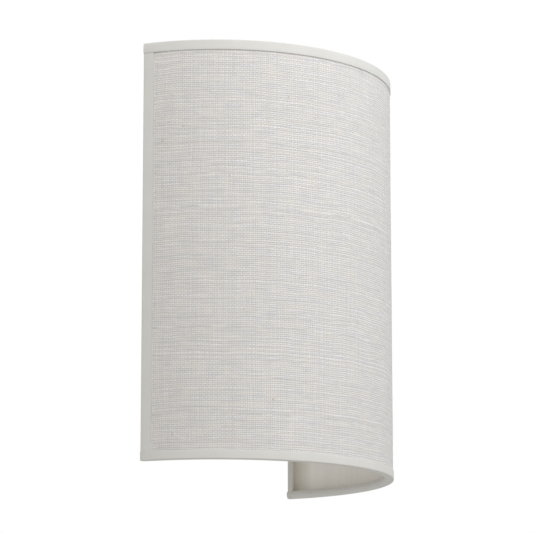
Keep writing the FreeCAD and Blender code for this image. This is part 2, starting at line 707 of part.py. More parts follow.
# ---------------------------------------------------------------- bracket and what clamps it
def lampholder_bracket():
    """A bent strip: a leg on the plate and an arm that carries the lampholder."""
    bottom = HOLDER_SEAT_Z - SHEET
    outer_centre = (-SHEET - BEND_OUTSIDE, bottom + BEND_OUTSIDE)
    half = BRACKET_WIDTH / 2
    leg_top = HOLDER_SEAT_Z + BRACKET_LEG
    face = closed_face(
        lambda y, z: Vector(-half, y, z),
        (-SHEET, leg_top),
        (-SHEET, bottom + BEND_OUTSIDE),
        (corner(outer_centre, BEND_OUTSIDE, -45), (outer_centre[0], bottom)),
        (-HOLDER_REACH, bottom),
        (-HOLDER_REACH, HOLDER_SEAT_Z),
        (BRACKET_FRONT - BEND_INSIDE, HOLDER_SEAT_Z),
        (corner(outer_centre, BEND_INSIDE, -45), (BRACKET_FRONT, HOLDER_SEAT_Z + BEND_INSIDE)),
        (BRACKET_FRONT, leg_top),
    )
    strip = face.extrude(ALONG_X * BRACKET_WIDTH)
    tip_middle = Vector(0, -HOLDER_REACH, bottom)
    strip = merged(strip, rod(half, tip_middle, UP, SHEET))
    corners = [
        e for e in strip.Edges
        if e.BoundBox.ZMin > leg_top - 1e-6 and e.BoundBox.YLength > SHEET - 1e-6
    ]
    strip = strip.makeFillet(BRACKET_WIDTH / 5, corners)
    holes = [rod(NIPPLE_RADIUS + HOLE_CLEARANCE, tip_middle, UP, SHEET)]
    for x, z in bracket_screw_places():
        holes.append(rod(M3 / 2 + HOLE_CLEARANCE, Vector(x, 0, z), TO_ROOM, 2 * SHEET))
    return strip.cut(holes)


def bracket_screws():
    length = 2 * SHEET + M3_NUT_THICKNESS + SCREW_END
    return Part.makeCompound([
        merged(csk_head(x, z, 0), rod(M3 / 2, Vector(x, 0, z), TO_ROOM, length))
        for x, z in bracket_screw_places()
    ])


def bracket_nuts():
    return Part.makeCompound([
        hexagon(
            M3_NUT_ACROSS_FLATS, Vector(x, BRACKET_FRONT, z), TO_ROOM, M3_NUT_THICKNESS,
            M3 / 2 + THREAD_CLEARANCE,
        )
        for x, z in bracket_screw_places()
    ])


def threaded_nipple():
    low = HOLDER_SEAT_Z - SHEET - NIPPLE_NUT_THICKNESS - NIPPLE_END
    start = BULB_AXIS + UP * low
    return pipe(NIPPLE_RADIUS, NIPPLE_BORE / 2, start, UP, CAP_BOTTOM + CAP_BOSS_HEIGHT - low)


def nipple_nut():
    start = BULB_AXIS + UP * (HOLDER_SEAT_Z - SHEET)
    return hexagon(
        NIPPLE_NUT_ACROSS_FLATS, start, UP * -1, NIPPLE_NUT_THICKNESS,
        NIPPLE_RADIUS + THREAD_CLEARANCE,
    )


def toothed_washer():
    start = BULB_AXIS + UP * HOLDER_SEAT_Z
    ring = pipe(
        TOOTHED_WASHER_RADIUS, NIPPLE_RADIUS + HOLE_CLEARANCE, start, UP, TOOTHED_WASHER_THICKNESS
    )
    notches = []
    for index in range(WASHER_TEETH):
        angle = 2 * math.pi * (index + 0.5) / WASHER_TEETH
        place = start + Vector(math.cos(angle), math.sin(angle), 0) * TOOTHED_WASHER_RADIUS
        notches.append(rod(WASHER_NOTCH, place, UP, TOOTHED_WASHER_THICKNESS))
    return ring.cut(notches)


# ---------------------------------------------------------------- lampholder
def lampholder_cap():
    """The lower half of the holder: a boss for the nipple, flaring to a fluted cup."""
    inner = CAP_RADIUS - CAP_WALL
    ledge_radius = inner - CORE_LEDGE
    bore = NIPPLE_RADIUS + THREAD_CLEARANCE
    ledge = CORE_BOTTOM - CAP_BOTTOM
    flare_low = 0.2 * CAP_HEIGHT
    flare_high = 0.6 * CAP_HEIGHT
    cap = turned(
        CAP_BOTTOM,
        (bore, 0),
        (CAP_NECK_RADIUS, 0),
        (CAP_NECK_RADIUS, flare_low),
        ((CAP_NECK_RADIUS + 0.62 * (CAP_RADIUS - CAP_NECK_RADIUS), 0.5 * (flare_low + flare_high)),
         (CAP_RADIUS, flare_high)),
        (CAP_RADIUS, CAP_HEIGHT),
        (inner, CAP_HEIGHT),
        (inner, ledge),
        (ledge_radius, ledge),
        (ledge_radius, CAP_BOSS_HEIGHT + CAP_WALL),
        (bore + CAP_WALL, CAP_BOSS_HEIGHT),
        (bore, CAP_BOSS_HEIGHT),
    )
    flutes = []
    for index in range(CAP_FLUTES):
        angle = 2 * math.pi * index / CAP_FLUTES
        place = BULB_AXIS + Vector(math.cos(angle), math.sin(angle), 0) * (CAP_RADIUS + FLUTE_OUTSIDE)
        flute_length = CAP_HEIGHT - flare_high - FLUTE_MARGIN
        flutes.append(rod(FLUTE_RADIUS, place + UP * (CAP_BOTTOM + flare_high), UP, flute_length))
    return cap.cut(flutes)


def lampholder_body():
    """The upper half of the holder: a plain skirt with a lip round the mouth."""
    inner = BODY_RADIUS - BODY_WALL
    lip = SHELL_BORE_RADIUS + SHELL_WALL / 2
    flange = BODY_RADIUS + BODY_FLANGE
    ease = MOUTH_LIP_THICKNESS / 2
    return turned(
        CAP_JOINT,
        (inner, 0),
        (flange - ease, 0),
        (flange, ease),
        (flange, BODY_FLANGE_HEIGHT),
        (BODY_RADIUS, BODY_FLANGE_HEIGHT),
        (BODY_RADIUS, BODY_HEIGHT - ease),
        (corner((BODY_RADIUS - ease, BODY_HEIGHT - ease), ease, 45), (BODY_RADIUS - ease, BODY_HEIGHT)),
        (lip, BODY_HEIGHT),
        (lip, BODY_HEIGHT - MOUTH_LIP_THICKNESS),
        (inner, BODY_HEIGHT - MOUTH_LIP_THICKNESS),
    )


def lampholder_core():
    """The insulating disc between cap and body that carries the contacts."""
    disc = rod(CORE_RADIUS, BULB_AXIS + UP * CORE_BOTTOM, UP, CORE_THICKNESS)
    studs = [
        rod(STUD_RADIUS, Vector(s * HOLDER_TERMINAL_X, -HOLDER_REACH, CORE_BOTTOM), UP, CORE_THICKNESS)
        for s in (-1, 1)
    ]
    return disc.cut(studs)


def lampholder_shell():
    """The brass sleeve that the bulb screws into, flanged on the core."""
    height = MOUTH_Z - MOUTH_LIP_THICKNESS - CORE_TOP - SHELL_WALL
    return turned(
        CORE_TOP,
        (SHELL_HOLE_RADIUS, 0),
        (SHELL_RADIUS, 0),
        (SHELL_RADIUS, height),
        (SHELL_BORE_RADIUS, height),
        (SHELL_BORE_RADIUS, SHELL_WALL),
        (SHELL_HOLE_RADIUS, SHELL_WALL),
    )


def contact_strip(outline):
    face = closed_face(
        lambda x, z: Vector(x, -HOLDER_REACH - CONTACT_WIDTH / 2, CORE_TOP + z), *outline
    )
    return face.extrude(Vector(0, CONTACT_WIDTH, 0))


def centre_contact():
    """A sprung tongue from the live terminal's stud up to the bulb's end contact."""
    strip = CONTACT_STRIP
    foot = -HOLDER_TERMINAL_X - STUD_RADIUS - CONTACT_FOOT
    bend = -HOLDER_TERMINAL_X + STUD_RADIUS + CONTACT_BEND
    tip = CONTACT_TOP - CORE_TOP
    half_tip = INSULATOR_LOW_RADIUS / 2
    return contact_strip((
        (foot, 0),
        (bend, 0),
        (-half_tip + strip, tip - strip),
        (half_tip, tip - strip),
        (half_tip, tip),
        (-half_tip, tip),
        (bend - strip, strip),
        (foot, strip),
    ))


def side_contact(shell):
    """A flat link from the neutral terminal's stud to the screw shell's flange."""
    near = HOLDER_TERMINAL_X - STUD_RADIUS - CONTACT_FOOT
    link = contact_strip((
        (near, 0),
        (SHELL_HOLE_RADIUS + SHELL_WALL, 0),
        (SHELL_HOLE_RADIUS + SHELL_WALL, CONTACT_STRIP),
        (near, CONTACT_STRIP),
    ))
    return link.cut(shell)


def holder_terminals():
    """Two brass blocks under the core, each with a stud up to its contact."""
    half_width, half_length = HOLDER_TERMINAL_WIDTH / 2, HOLDER_TERMINAL_LENGTH / 2
    blocks = []
    for side in (-1, 1):
        x = side * HOLDER_TERMINAL_X
        body = block(
            (x - half_width, x + half_width),
            (-HOLDER_REACH - half_length, -HOLDER_REACH + half_length),
            (TERMINAL_BOTTOM, CORE_BOTTOM),
        )
        middle = Vector(x, -HOLDER_REACH, 0)
        stud = rod(STUD_RADIUS, middle + UP * CORE_BOTTOM, UP, CORE_THICKNESS)
        wire_hole = rod(
            LEAD_DIAMETER / 2 + HOLE_CLEARANCE, middle + UP * TERMINAL_BOTTOM, UP,
            HOLDER_TERMINAL_HEIGHT - LEAD_HOLE_ROOF,
        )
        tap = rod(
            M3 / 2 + THREAD_CLEARANCE, middle + UP * (CORE_BOTTOM - HOLDER_TERMINAL_HEIGHT / 2),
            TO_ROOM, HOLDER_TERMINAL_LENGTH,
        )
        blocks.append(merged(body, stud).cut([wire_hole, tap]))
    return Part.makeCompound(blocks)


def holder_terminal_screws():
    screws = []
    start_y = -HOLDER_REACH - LEAD_DIAMETER / 2 - HOLE_CLEARANCE
    length = HOLDER_TERMINAL_LENGTH / 2 + 1
    for side in (-1, 1):
        z = CORE_BOTTOM - HOLDER_TERMINAL_HEIGHT / 2
        start = Vector(side * HOLDER_TERMINAL_X, start_y, z)
        slot = block(
            (-FAR, FAR),
            (start_y - length, start_y - length + SLOT_DEPTH_IN_SCREW),
            (z - SLOT_HALF, z + SLOT_HALF),
        )
        screws.append(rod(M3 / 2, start, TO_ROOM, length).cut(slot))
    return Part.makeCompound(screws)


# ---------------------------------------------------------------- bulb
def bulb_end_contact():
    ease = BUTTON_HEIGHT / 2
    return turned(
        CONTACT_TOP,
        (0, 0),
        (BUTTON_RADIUS - BUTTON_HEIGHT, 0),
        (BUTTON_RADIUS, ease),
        (BUTTON_RADIUS, BUTTON_HEIGHT),
        (0, BUTTON_HEIGHT),
    )


def bulb_cap_insulator():
    """The dark glass cone between the end contact and the screw cap."""
    plug = INSULATOR_HEIGHT + BULB_CAP_HEIGHT / 10
    return turned(
        CONTACT_TOP + BUTTON_HEIGHT,
        (0, 0),
        (INSULATOR_LOW_RADIUS, 0),
        (INSULATOR_RADIUS, INSULATOR_HEIGHT),
        (INSULATOR_RADIUS, plug),
        (0, plug),
    )


def bulb_cap():
    """The screw cap's sleeve, drawn in at the bottom round the insulator."""
    low = BUTTON_HEIGHT + INSULATOR_HEIGHT
    lip = INSULATOR_RADIUS + TURNING_CLEARANCE
    shoulder = BULB_CAP_RADIUS - lip
    wall = BULB_CAP_WALL
    return turned(
        CONTACT_TOP,
        (lip, low),
        (lip + wall, low),
        (BULB_CAP_RADIUS, low + shoulder),
        (BULB_CAP_RADIUS, BULB_CAP_HEIGHT),
        (BULB_CAP_RADIUS - wall, BULB_CAP_HEIGHT),
        (BULB_CAP_RADIUS - wall, low + shoulder + wall),
        (lip, low + 2 * wall),
    )


def bulb_housing():
    """The white plastic flare between the cap and the globe."""
    height = HOUSING_TOP - BULB_CAP_TOP
    wall = HOUSING_WALL
    spigot = BULB_CAP_RADIUS - BULB_CAP_WALL
    neck = BULB_CAP_RADIUS + wall / 4
    wide = HOUSING_TOP_RADIUS
    sweep = neck + 0.36 * (wide - neck)
    ledge = GLOBE_WALL + wall
    return turned(
        BULB_CAP_TOP,
        (spigot - wall, -SPIGOT_LENGTH),
        (spigot, -SPIGOT_LENGTH),
        (spigot, 0),
        (neck, 0),
        ((sweep, height / 2), (wide, height)),
        (wide - ledge, height),
        (wide - ledge - wall, height - wall),
        ((sweep - wall, height / 2), (spigot - wall, wall)),
    )


def bulb_globe():
    """The opal dome, a sphere cut off at the housing's rim."""
    centre = (0, GLOBE_CENTRE_Z)
    inner = BULB_RADIUS - GLOBE_WALL
    low = -math.degrees(math.asin(HOUSING_BELOW_GLOBE_CENTRE / BULB_RADIUS))
    inner_low = -math.degrees(math.asin(HOUSING_BELOW_GLOBE_CENTRE / inner))
    middle = (90 + low) / 2
    return turned(
        0,
        corner(centre, BULB_RADIUS, low),
        (corner(centre, BULB_RADIUS, middle), (0, GLOBE_CENTRE_Z + BULB_RADIUS)),
        (0, GLOBE_CENTRE_Z + inner),
        (corner(centre, inner, middle), corner(centre, inner, inner_low)),
    )


def led_board():
    """A round board on the housing's rim, with a ring of light-emitting chips."""
    radius = HOUSING_TOP_RADIUS - GLOBE_WALL - HOUSING_WALL
    disc = rod(radius, BULB_AXIS + UP * HOUSING_TOP, UP, BOARD_THICKNESS)
    chips = []
    for index in range(LED_COUNT):
        angle = 2 * math.pi * index / LED_COUNT
        middle = BULB_AXIS + Vector(math.cos(angle), math.sin(angle), 0) * (0.7 * radius)
        half = LED_SIZE / 2
        top = HOUSING_TOP + BOARD_THICKNESS
        chips.append(block(
            (middle.x - half, middle.x + half), (middle.y - half, middle.y + half),
            (top, top + LED_HEIGHT),
        ))
    return merged(disc, *chips)


def driver_board():
    """The upright board inside the housing, with its tallest parts as blocks."""
    top = HOUSING_TOP
    board = block(
        (-DRIVER_WIDTH / 2, DRIVER_WIDTH / 2),
        (-HOLDER_REACH - BOARD_THICKNESS / 2, -HOLDER_REACH + BOARD_THICKNESS / 2),
        (top - DRIVER_LENGTH, top),
    )
    face_y = -HOLDER_REACH - BOARD_THICKNESS / 2
    radius = DRIVER_WIDTH / 4
    foot = Vector(0, face_y - radius + CAPACITOR_SUNK, top - CAPACITOR_DROP)
    capacitor = rod(radius, foot, UP, CAPACITOR_LENGTH)
    coil_top = top - COIL_DROP
    coil = block(
        (-COIL_WIDTH / 2, COIL_WIDTH / 2), (face_y, face_y - COIL_DEPTH),
        (coil_top - COIL_HEIGHT, coil_top),
    )
    return merged(board, capacitor, coil)


# ---------------------------------------------------------------- leads
def lead(name, points):
    """A round lead along straight runs that are joined by tangent arcs."""
    edges = []
    here = points[0]
    smallest = None
    for before, point, after in zip(points, points[1:], points[2:]):
        back, on = (before - point), (after - point)
        turn = math.pi - back.getAngle(on)
        tangent = ARC_SHARE * min(back.Length, on.Length)
        radius = tangent / math.tan(turn / 2)
        smallest = radius if smallest is None else min(smallest, radius)
        start = point + Vector(back).normalize() * tangent
        end = point + Vector(on).normalize() * tangent
        inward = (Vector(back).normalize() + Vector(on).normalize()).normalize()
        middle = point + inward * (radius / math.cos(turn / 2) - radius)
        edges.append(Part.LineSegment(here, start).toShape())
        edges.append(Part.Arc(start, middle, end).toShape())
        here = end
    edges.append(Part.LineSegment(here, points[-1]).toShape())
    path = Part.Wire(edges)
    first_run = (points[1] - points[0]).normalize()
    section = Part.Wire(Part.makeCircle(LEAD_DIAMETER / 2, points[0], first_run))
    tube = path.makePipeShell([section], True, False)
    expected = math.pi * LEAD_DIAMETER ** 2 / 4 * path.Length
    print(f"{name}: {path.Length:.1f} mm, tightest radius {smallest:.1f} mm,"
          f" volume {tube.Volume / expected:.4f} of section x length")
    return tube


def holder_lead_points(pole_x, side):
    """From a pole, down beside the bracket, under its arm and up through the nipple."""
    beside = side * (BRACKET_WIDTH / 2 + LEAD_BESIDE_BRACKET)
    under = HOLDER_SEAT_Z - SHEET - NIPPLE_NUT_THICKNESS - NIPPLE_END - LEAD_BELOW_NIPPLE
    in_nipple = side * NIPPLE_BORE / 4
    y = WIRE_Y
    return [
        Vector(pole_x, y, BLOCK_MIDDLE_Z - TERMINAL_SCREW_SPACING / 2 - LEAD_PAST_SCREW),
        Vector(pole_x, y, BLOCK_BOTTOM - HOLDER_LEAD_DROP),
        Vector(beside - side, y, BRACKET_SCREW_Z + 15),
        Vector(beside, y - 2, HOLDER_SEAT_Z + 4),
        Vector(beside - 3 * side, y - 14, under + 4),
        Vector(side * 6, (y - HOLDER_REACH) / 2 - 4, under - 4),
        Vector(in_nipple, -HOLDER_REACH, under),
        Vector(in_nipple, -HOLDER_REACH, CAP_BOTTOM + CAP_BOSS_HEIGHT - 1),
        Vector(side * HOLDER_TERMINAL_X, -HOLDER_REACH, TERMINAL_BOTTOM - 1),
        Vector(side * HOLDER_TERMINAL_X, -HOLDER_REACH, TERMINAL_BOTTOM + LEAD_IN_HOLDER),
    ]


def live_lead():
    return lead("live_lead", holder_lead_points(LIVE_POLE, -1))


def neutral_lead():
    return lead("neutral_lead", holder_lead_points(NEUTRAL_POLE, 1))


def earth_lead():
    along = earth_direction()
    crimp_end = Vector(EARTH_X, crimp_axis_y(), EARTH_Z) + along * CRIMP_REACH
    return lead("earth_lead", [
        Vector(EARTH_POLE, WIRE_Y, BLOCK_MIDDLE_Z - TERMINAL_SCREW_SPACING / 2 - LEAD_PAST_SCREW),
        Vector(EARTH_POLE, WIRE_Y, BLOCK_BOTTOM - EARTH_LEAD_DROP),
        crimp_end + along * (CRIMP_LENGTH + CRIMP_STRAIGHT),
        crimp_end,
    ])


# ---------------------------------------------------------------- all pieces
def pieces():
    rings = [frame_ring(1), frame_ring(-1)]
    uprights = [frame_upright(-1, rings), frame_upright(1, rings)]
    shell = lampholder_shell()
    return {
        "shade_fabric": shade_fabric(),
        "shade_liner": shade_liner(),
        "top_ring": rings[0],
        "bottom_ring": rings[1],
        "left_upright": uprights[0],
        "right_upright": uprights[1],
        "hanging_bar": hanging_bar(uprights),
        "top_tape": top_tape(),
        "bottom_tape": bottom_tape(),
        "left_tape": side_tape(-1),
        "right_tape": side_tape(1),
        "wall_plate": wall_plate(),
        "cable_grommet": cable_grommet(),
        "terminal_block": terminal_block(),
        "terminal_barrels": terminal_barrels(),
        "terminal_screws": terminal_screws(),
        "terminal_fixing_screws": terminal_fixing_screws(),
        "earth_washer": earth_washer(),
        "ring_terminal": ring_terminal(),
        "earth_screw": earth_screw(),
        "lampholder_bracket": lampholder_bracket(),
        "bracket_screws": bracket_screws(),
        "bracket_nuts": bracket_nuts(),
        "threaded_nipple": threaded_nipple(),
        "nipple_nut": nipple_nut(),
        "toothed_washer": toothed_washer(),
        "lampholder_cap": lampholder_cap(),
        "lampholder_body": lampholder_body(),
        "lampholder_core": lampholder_core(),
        "lampholder_shell": shell,
        "centre_contact": centre_contact(),
        "side_contact": side_contact(shell),
        "holder_terminals": holder_terminals(),
        "holder_terminal_screws": holder_terminal_screws(),
        "live_lead": live_lead(),
        "neutral_lead": neutral_lead(),
        "earth_lead": earth_lead(),
        "bulb_end_contact": bulb_end_contact(),
        "bulb_cap_insulator": bulb_cap_insulator(),
        "bulb_cap": bulb_cap(),
        "bulb_housing": bulb_housing(),
        "bulb_globe": bulb_globe(),
        "led_board": led_board(),
        "driver_board": driver_board(),
    }


os.makedirs("parts", exist_ok=True)
for piece_name, shape in pieces().items():
    sound = shape.isValid() and all(s.isClosed() for s in shape.Shells)
    print(f"{piece_name}: {len(shape.Solids)} solid(s), {shape.Volume:.0f} mm3, sound: {sound}")
    shape.exportStep(os.path.join("parts", piece_name + ".step"))
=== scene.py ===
import json
import math

import bmesh
import bpy
from bpy.props import FloatProperty, FloatVectorProperty, IntProperty, PointerProperty
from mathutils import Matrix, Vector


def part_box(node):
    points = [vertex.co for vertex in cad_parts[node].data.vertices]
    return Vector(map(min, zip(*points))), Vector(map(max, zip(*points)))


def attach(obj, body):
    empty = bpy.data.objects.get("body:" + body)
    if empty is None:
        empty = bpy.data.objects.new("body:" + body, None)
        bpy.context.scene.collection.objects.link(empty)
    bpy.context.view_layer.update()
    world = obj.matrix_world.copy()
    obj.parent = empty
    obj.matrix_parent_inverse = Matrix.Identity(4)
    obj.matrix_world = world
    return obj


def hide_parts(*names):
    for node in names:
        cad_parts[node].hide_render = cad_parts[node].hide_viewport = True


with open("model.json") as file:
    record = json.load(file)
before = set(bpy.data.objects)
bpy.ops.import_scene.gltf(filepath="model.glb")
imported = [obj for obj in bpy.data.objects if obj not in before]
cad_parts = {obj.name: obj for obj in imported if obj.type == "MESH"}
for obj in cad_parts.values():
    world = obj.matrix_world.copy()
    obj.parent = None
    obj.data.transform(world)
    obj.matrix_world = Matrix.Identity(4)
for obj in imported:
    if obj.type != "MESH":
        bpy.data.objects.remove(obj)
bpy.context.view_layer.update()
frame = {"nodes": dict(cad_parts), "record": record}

bl_info = {
    "name": "Fabric shade wall light",
    "version": (1, 0, 0),
    "blender": (4, 5, 0),
    "location": "3D View > Sidebar > Wall light",
    "description": "Dresses a half-round linen wall light and its lampholder fitting",
    "category": "Object",
}

MM = 0.001

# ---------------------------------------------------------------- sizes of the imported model, metres
SHADE_LOW, SHADE_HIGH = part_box("bottom_tape")[0].z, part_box("top_tape")[1].z
SHADE_RADIUS = -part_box("top_tape")[0].y
BACK_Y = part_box("left_tape")[1].y
WIRE_RADIUS = (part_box("top_ring")[1].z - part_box("top_ring")[0].z) / 2
TAPE_THICKNESS = 0.5 * MM
CLOTH_THICKNESS = 0.8 * MM
LINER_THICKNESS = 0.5 * MM
PANEL_DEPTH = TAPE_THICKNESS + CLOTH_THICKNESS + LINER_THICKNESS
FOLD_RADIUS = WIRE_RADIUS + TAPE_THICKNESS
WIRE_DEPTH = PANEL_DEPTH + WIRE_RADIUS
TOP_TAPE_WIDTH = 6.9 * MM
BOTTOM_TAPE_WIDTH = 6.1 * MM
SIDE_TAPE_WIDTH = 7.7 * MM
PAINTED_SHADE_REACH = 11.0 * MM           # how far the painted shade reaches in from a tape
# olive brown of the painted shade in the lining's corners by the tapes
PAINTED_SHADE_COLOUR = (0.42, 0.375, 0.26)
FOLD_FULLNESS = 0.5 * MM         # how much fuller than its wire a rim's fold is
TAPE_TURN = 0.7 * MM             # rounding where a tape turns over an edge
TAPE_TUCK = 0.25 * MM            # how far a side tape stops short of a rim's edge
TAPE_LIP = 0.2 * MM              # rounding of a tape's cut edge
TAPE_OVERLAP = 0.35 * MM         # how far a tape stands off where it crosses another
TAPE_SEAT = 0.3 * MM             # how deep a tape's inner end sits in the lining
RIB_PITCH = 0.42 * MM            # from rib to rib along a tape
TAPE_YARN_PITCH = 0.55 * MM      # from yarn to yarn across a tape
WEFT_SPACING = 0.97              # the linen's weft pitch, as a share of its warp pitch
SHORTEST_SLUB = 0.35             # as a share of the longest
FLAX_COLOUR = (0.84, 0.78, 0.70)
HUSK_COLOUR = (0.46, 0.36, 0.22)

BULB_AXIS_Y = -60.0 * MM
THREAD_PITCH = 3.62 * MM
THREADED_WALL = 0.5 * MM         # sheet of the bulb's cap and of the holder's shell
SHELL_FLOOR = 3.0 * MM           # how far the shell's floor reaches in
SHELL_FOOT = 2.5 * MM            # plain height below the shell's thread
CAP_FOOT = 1.5 * MM              # plain height below the cap's thread
TURNED_SIDES = 96
LEAD_GIRTH = 6.9 * MM            # round a lead's insulation
STRIPE_TWIST = 90.0              # turn of the earth lead's stripe, in radians for each metre
UNEVEN_GLOSS = 0.08              # how far a plain finish's roughness strays

WHITE = (1.0, 1.0, 1.0)
COOL_WHITE = (0.958, 0.992, 1.035)
WARM_WHITE = (1.0, 0.966, 0.918)

SLOT_COLOURS = {m["slot"]: m["base_color"][:3] for m in frame["record"]["materials"]}


# ---------------------------------------------------------------- node trees
class Graph:
    """Short calls that build one node tree."""

    def __init__(self, tree):
        self.tree = tree
        tree.nodes.clear()

    def feed(self, socket, value):
        if isinstance(value, bpy.types.NodeSocket):
            self.tree.links.new(value, socket)
        else:
            socket.default_value = value

    def add(self, kind, inputs=None, **settings):
        node = self.tree.nodes.new(kind)
        for key, value in settings.items():
            setattr(node, key, value)
        for key, value in (inputs or {}).items():
            self.feed(node.inputs[key], value)
        return node

    def math(self, operation, *values):
        node = self.add("ShaderNodeMath", operation=operation)
        for socket, value in zip(node.inputs, values):
            self.feed(socket, value)
        return node.outputs[0]

    def plus(self, first, second):
        return self.math("ADD", first, second)

    def minus(self, first, second):
        return self.math("SUBTRACT", first, second)

    def times(self, first, second):
        return self.math("MULTIPLY", first, second)

    def over(self, first, second):
        return self.math("DIVIDE", first, second)

    def sine(self, angle):
        return self.math("SINE", angle)

    def geometry(self, kind, inputs=None, **settings):
        return self.add("GeometryNode" + kind, inputs, **settings)

    def vector(self, x=0.0, y=0.0, z=0.0):
        return self.add("ShaderNodeCombineXYZ", {"X": x, "Y": y, "Z": z}).outputs[0]

    def noise(self, place, scale, detail=2.0, dimensions="3D"):
        """A noise value from 0 to 1 at a place."""
        key = "W" if dimensions == "1D" else "Vector"
        inputs = {key: place, "Scale": scale, "Detail": detail}
        return self.add("ShaderNodeTexNoise", inputs, noise_dimensions=dimensions).outputs[0]

    def between(self, value, low, high, new_low=0.0, new_high=1.0):
        """A value moved from one range to another and kept inside it."""
        node = self.add("ShaderNodeMapRange")
        for socket, number in zip(node.inputs, (value, low, high, new_low, new_high)):
            self.feed(socket, number)
        return node.outputs[0]

    def mixed(self, factor, first, second):
        """A colour between two colours."""
        node = self.add("ShaderNodeMix", {0: factor, 6: first, 7: second}, data_type="RGBA")
        return node.outputs[2]

    def spot(self):
        """The place of each point of a geometry."""
        return self.add("GeometryNodeInputPosition").outputs[0]

    def parts(self, place):
        """The X, Y and Z of a place."""
        return self.add("ShaderNodeSeparateXYZ", {"Vector": place}).outputs


def opaque(colour, gain=1.0):
    return tuple(min(1.0, max(0.0, c * gain)) for c in colour[:3]) + (1.0,)


def new_material(name):
    material = bpy.data.materials.new(name)
    material.use_nodes = True
    return material, Graph(material.node_tree)


def end_material(graph, colour, roughness, height, depth, **sockets):
    """The shader itself; a socket's name has an underscore for each space."""
    shader = graph.add("ShaderNodeBsdfPrincipled", {"Base Color": colour, "Roughness": roughness})
    bump = graph.add("ShaderNodeBump", {"Height": height, "Distance": depth})
    graph.feed(shader.inputs["Normal"], bump.outputs[0])
    for key, value in sockets.items():
        shader.inputs[key.replace("_", " ")].default_value = value
    graph.add("ShaderNodeOutputMaterial", {"Surface": shader.outputs[0]})


def object_place(graph, stretch):
    """Object coordinates, in metres, squeezed along each axis."""
    place = graph.add("ShaderNodeTexCoord").outputs["Object"]
    return graph.add("ShaderNodeMapping", {"Vector": place, "Scale": stretch}).outputs[0]


def plain_finish(
    name, colour, roughness, mottle, mottle_scale, grain=0.01 * MM, grain_scale=1500.0,
    stretch=(1.0, 1.0, 1.0), **sockets,
):
    """A moulded, painted or plated finish: mottled colour, uneven gloss and fine relief."""
    material, graph = new_material(name)
    place = object_place(graph, stretch)
    blotches = graph.noise(place, mottle_scale, 4.0)
    specks = graph.noise(place, grain_scale, 3.0)
    tone = graph.plus(graph.times(blotches, 0.7), graph.times(specks, 0.3))
    shade = graph.between(tone, 0.3, 0.7)
    base = graph.mixed(shade, opaque(colour, 1 - mottle), opaque(colour, 1 + mottle))
    gloss = graph.noise(place, mottle_scale * 2.7, 3.0)
    low, high = max(0.02, roughness - UNEVEN_GLOSS), min(1.0, roughness + UNEVEN_GLOSS)
    end_material(graph, base, graph.between(gloss, 0.3, 0.7, low, high), specks, grain, **sockets)
    return material


def cloth_place(graph):
    """The cloth's own flat coordinates, in metres: along the rim, and up."""
    place = graph.add("ShaderNodeUVMap", uv_map="flat").outputs[0]
    parts = graph.parts(place)
    return place, parts[0], parts[1]


def yarn_noise(graph, run, run_scale, yarn, yarn_step, layer, detail):
    """Noise that follows a yarn along its run and differs from yarn to yarn."""
    place = graph.vector(graph.times(run, run_scale), graph.times(yarn, yarn_step), layer)
    return graph.noise(place, 1.0, detail)


